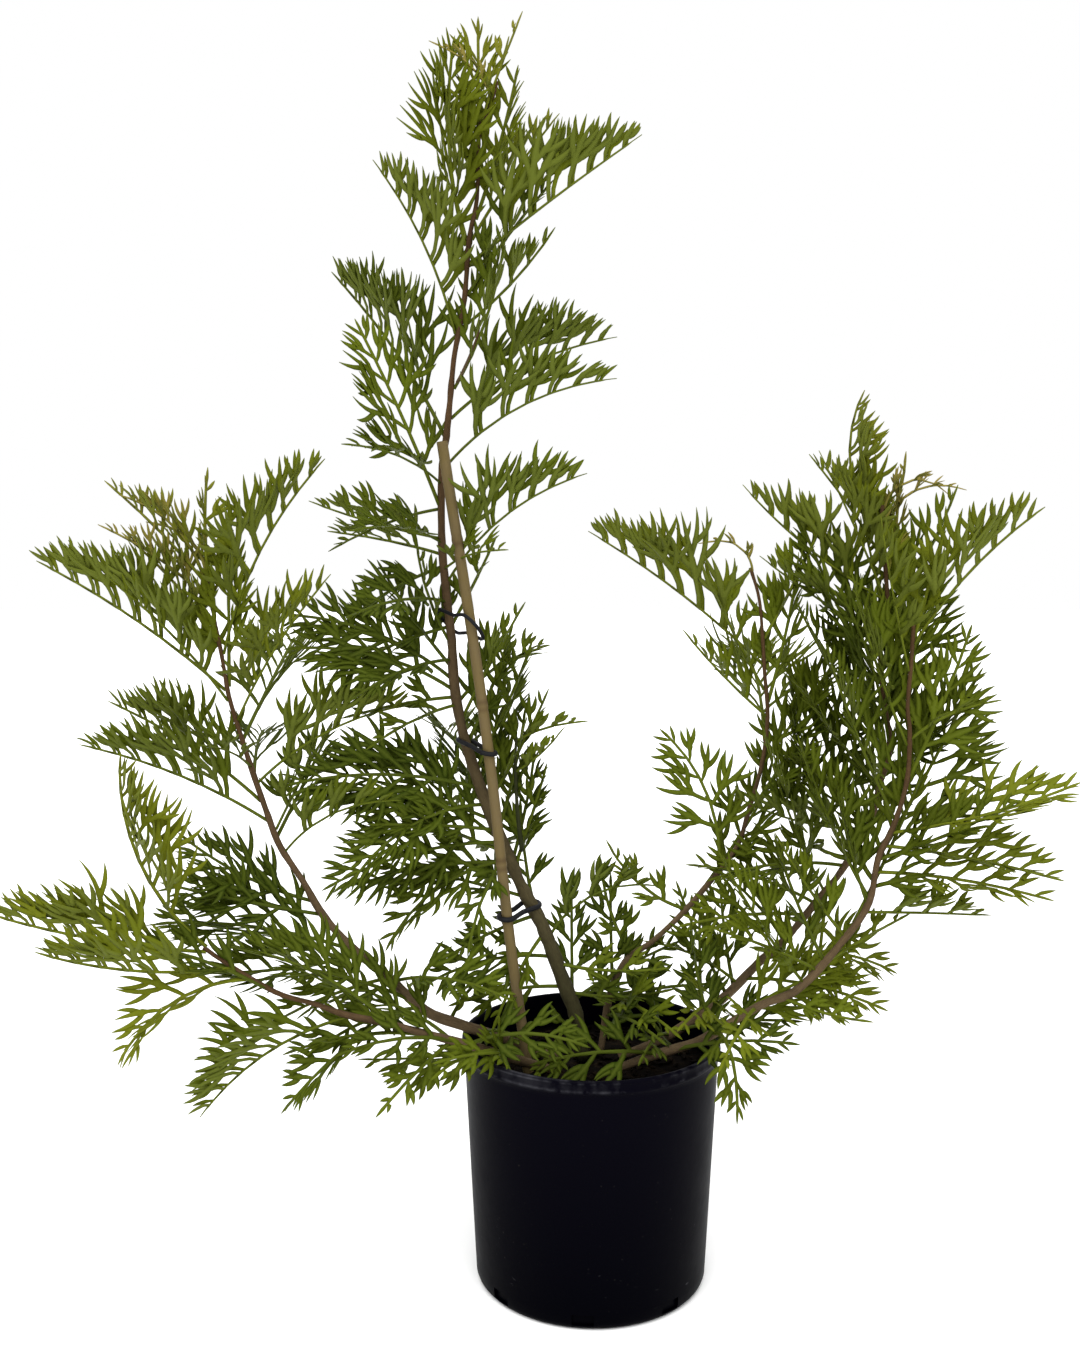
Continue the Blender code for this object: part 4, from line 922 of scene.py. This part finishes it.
def makePot():
    s = potStyle
    base, rim, wall, floor = s["base"], s["rim"], s["wall"], s["floor"]
    taper = (rim - 0.0012 - base) / s["height"]
    bandZ = s["height"] - s["band"]
    underside = [(0.0, 0.0), (base * 0.5, 0.0), (base - 0.012, 0.0), (base - 0.0105, 0.0012),
                 (base - 0.007, 0.0012), (base - 0.0045, 0.0004), (base - 0.0022, 0.0008),
                 (base - 0.0006, 0.0026)]
    side = [(base + taper * z, z) for z in (0.005, 0.0125, 0.02, 0.05, 0.09, 0.13,
                                            bandZ - 0.004, bandZ - 0.001)]
    rolledBand = [(rim - inset, bandZ + up) for inset, up in (
        (0.0010, -0.0002), (0.0002, 0.0010), (0.0, 0.0022), (0.0006, 0.0036), (0.0005, 0.0070),
        (0.0, 0.0082), (0.0003, 0.0094), (0.0012, 0.0100), (0.0030, 0.0100), (0.0038, 0.0092),
        (0.0040, 0.0060))]
    inside = [(base + taper * bandZ - wall, bandZ - 0.004), (base + taper * 0.10 - wall, 0.100),
              (base - wall, floor + 0.004), (base - wall - 0.004, floor), (0.0, floor)]
    profile = underside + side + rolledBand + inside
    bm = bmesh.new()
    painted_rim_highlight = bm.verts.layers.float.new("painted_rim_highlight")
    verts = [bm.verts.new((r, 0.0, z)) for r, z in profile]
    # Marks the rim bead for the painted highlight: full on its outermost and topmost points, a quarter
    # nearby.
    for vert in verts:
        if vert.co.x > rim - 0.0014 and vert.co.z > bandZ:
            vert[painted_rim_highlight] = 1.0 if vert.co.x > rim - 0.0001 or vert.co.z > s["height"] - 0.0001 else 0.25
    edges = [bm.edges.new(pair) for pair in zip(verts[:-1], verts[1:])]
    bmesh.ops.spin(bm, geom=verts + edges, cent=(0, 0, 0), axis=(0, 0, 1), angle=2 * math.pi,
                   steps=s["sides"], use_merge=True)
    bmesh.ops.remove_doubles(bm, verts=bm.verts, dist=1e-6)
    bmesh.ops.recalc_face_normals(bm, faces=bm.faces)
    for i in range(s["notches"]):
        middle = 2 * math.pi * i / s["notches"] + math.radians(270.0 + s["notchTurn"])
        picked = []
        for face in bm.faces:
            c = face.calc_center_median()
            reach = math.hypot(c.x, c.y)
            turn = (math.atan2(c.y, c.x) - middle + math.pi) % (2 * math.pi) - math.pi
            if abs(turn) < s["notchSpan"] and 0.0030 < c.z < 0.0125 and reach > base - 0.0015:
                picked.append(face)
        if picked:
            bmesh.ops.inset_region(bm, faces=picked, thickness=0.0007, depth=0.0, use_even_offset=True)
            inward = Vector((-math.cos(middle), -math.sin(middle), 0.0)) * s["notchDepth"]
            pushed = bmesh.ops.extrude_face_region(bm, geom=picked)
            moved = [v for v in pushed["geom"] if isinstance(v, bmesh.types.BMVert)]
            bmesh.ops.translate(bm, vec=inward, verts=moved)
            bmesh.ops.delete(bm, geom=[f for f in picked if f.is_valid], context="FACES")
    bmesh.ops.recalc_face_normals(bm, faces=bm.faces)
    piece = finishPiece("pot_shell", bm, potPlastic, ["pot"])
    piece.data.set_sharp_from_angle(angle=math.radians(50))


makePot()
print("pot ready")


# Potting mix: a crumbly surface with loose bark chips.

mixStyle = {"top": 0.166, "radius": 0.0952, "foot": 0.0745, "sides": 96, "rings": 26, "crumb": 0.0035,
            "bottom": 0.0036, "chips": 420, "chipSpread": 0.090, "chipSize": (0.0020, 0.0058)}


def mixHeight(x, y):
    away = math.hypot(x, y) / mixStyle["radius"]
    swell = 0.0025 * noise.noise(Vector((x * 28, y * 28, 3.0)))
    crumb = mixStyle["crumb"] * 0.5 * (noise.noise(Vector((x * 150, y * 150, 7.0)))
                                       + 0.5 * noise.noise(Vector((x * 380, y * 380, 1.0))))
    return mixStyle["top"] + swell + crumb - 0.002 * away * away


def makeMix():
    bm = bmesh.new()
    bmesh.ops.create_circle(bm, cap_ends=True, segments=mixStyle["sides"], radius=mixStyle["radius"])
    face = list(bm.faces)[0]
    for _ in range(mixStyle["rings"] - 1):
        bmesh.ops.inset_region(bm, faces=[face], thickness=mixStyle["radius"] / mixStyle["rings"], depth=0.0)
    bmesh.ops.poke(bm, faces=[face])
    for vert in bm.verts:
        vert.co.z = mixHeight(vert.co.x, vert.co.y)
    wall = [e for e in bm.edges if e.is_boundary]
    lower = bmesh.ops.extrude_edge_only(bm, edges=wall)["geom"]
    for vert in lower:
        if isinstance(vert, bmesh.types.BMVert):
            shrink = mixStyle["foot"] / mixStyle["radius"]
            vert.co = (vert.co.x * shrink, vert.co.y * shrink, mixStyle["bottom"])
    bmesh.ops.contextual_create(bm, geom=[e for e in bm.edges if e.is_boundary])
    bmesh.ops.recalc_face_normals(bm, faces=bm.faces)
    finishPiece("mix_surface", bm, barkMix, ["potting_mix"])


def makeChips():
    draw = random.Random(11)
    bm = bmesh.new()
    for _ in range(mixStyle["chips"]):
        turn, reach = draw.uniform(0, 2 * math.pi), mixStyle["chipSpread"] * math.sqrt(draw.random())
        x, y = reach * math.cos(turn), reach * math.sin(turn)
        size = draw.uniform(*mixStyle["chipSize"])
        place = Matrix.Translation((x, y, mixHeight(x, y) + size * 0.12))
        spin = Matrix.Rotation(draw.uniform(0, 6.28), 4, "Z")
        spin = spin @ Matrix.Rotation(draw.uniform(-0.5, 0.5), 4, "X")
        shape = Matrix.Diagonal((size, size * draw.uniform(0.35, 0.7), size * draw.uniform(0.18, 0.4), 1.0))
        made = bmesh.ops.create_icosphere(bm, subdivisions=1, radius=1.0, matrix=place @ spin @ shape)
        for vert in made["verts"]:
            vert.co += Vector((draw.uniform(-1, 1), draw.uniform(-1, 1), draw.uniform(-1, 1))) * size * 0.14
    finishPiece("mix_chips", bm, barkMix, [], smooth=False)


makeMix()
makeChips()
print("potting mix ready")


# Stake and ties

stakeStyle = {"radius": 0.0041, "joints": (0.215, 0.330, 0.452, 0.575), "sides": 18,
              "path": [(-0.0490, -0.018, 0.1672), (-0.0634, -0.017, 0.274), (-0.0753, -0.015, 0.385),
                       (-0.0885, -0.014, 0.488), (-0.1060, -0.012, 0.602), (-0.1130, -0.012, 0.649)]}


def makeStake():
    path = smoothPath(stakeStyle["path"], 34)
    radii, rings = [], []
    for p in path:
        away = min(abs(p.z - z) for z in stakeStyle["joints"])
        ridge = math.exp(-(away / 0.0022) ** 2)
        groove = math.exp(-((away - 0.0035) / 0.0015) ** 2)
        thickness = 1.0 + 0.10 * ridge - 0.05 * groove + 0.012 * noise.noise(p * 60)
        radii.append(stakeStyle["radius"] * thickness)
        rings.append(min(1.0, math.exp(-((away - 0.0028) / 0.0014) ** 2)))
    bm = sweepTube(path, radii, stakeStyle["sides"], {"ring": rings})
    piece = finishPiece("stake_cane", bm, bambooCane, ["bamboo_stake"])
    piece.data.set_sharp_from_angle(angle=math.radians(50))


# Each tie: centre on the stem and radius there, centre on the cane and radius there,
# thickness of the strip and how far it tips across its length.
tieStyle = {
    "upper_tie": ((-0.1095, 0.0082, 0.514), 0.0086, (-0.0915, -0.0138, 0.511), 0.0086, 0.0014, 1.10),
    "middle_tie": ((-0.0975, 0.0102, 0.421), 0.0062, (-0.0798, -0.0147, 0.416), 0.0062, 0.0018, 0.10),
    "lower_tie": ((-0.0475, 0.0070, 0.2925), 0.0072, (-0.0655, -0.0162, 0.2890), 0.0060, 0.0020, 0.10),
}


def makeTie(name, first, firstClear, second, secondClear, tube, tilt):
    a, b = Vector(first), Vector(second)
    along = (b - a).normalized()
    across = along.cross(Vector((0, 0, 1))).normalized()
    points = []
    for centre, clear, start in ((a, firstClear, math.pi / 2), (b, secondClear, -math.pi / 2)):
        for k in range(17):
            angle = start + math.pi * k / 16
            points.append(centre + clear * (along * math.cos(angle) + across * math.sin(angle)))
        points.append((a + b) / 2 + across * (-1 if start > 0 else 1) * min(firstClear, secondClear) * 0.72)
    middle = (a + b) / 2
    for p in points:
        p.z += (p - middle).dot(across) * tilt
    bm = sweepTube(points, [tube] * len(points), 10, {}, closed=True)
    finishPiece(f"{name}_loop", bm, tiePlastic, [name])


makeStake()
for name, values in tieStyle.items():
    makeTie(name, *values)
print("stake and ties ready")


# Floor

floorStyle = {"span": 12.0, "colour": (0.90, 0.90, 0.90, 1.0)}

floorMaterial = newMaterial("paleFloor", {"Roughness": 0.9, "Base Color": floorStyle["colour"]})[0]
bm = bmesh.new()
bmesh.ops.create_grid(bm, x_segments=1, y_segments=1, size=floorStyle["span"])
floorMesh = bpy.data.meshes.new("paleFloor")
bm.to_mesh(floorMesh)
bm.free()
floorMesh.materials.append(floorMaterial)
floor = bpy.data.objects.new("paleFloor", floorMesh)
floor.location.z = -0.0005
bpy.context.scene.collection.objects.link(floor)
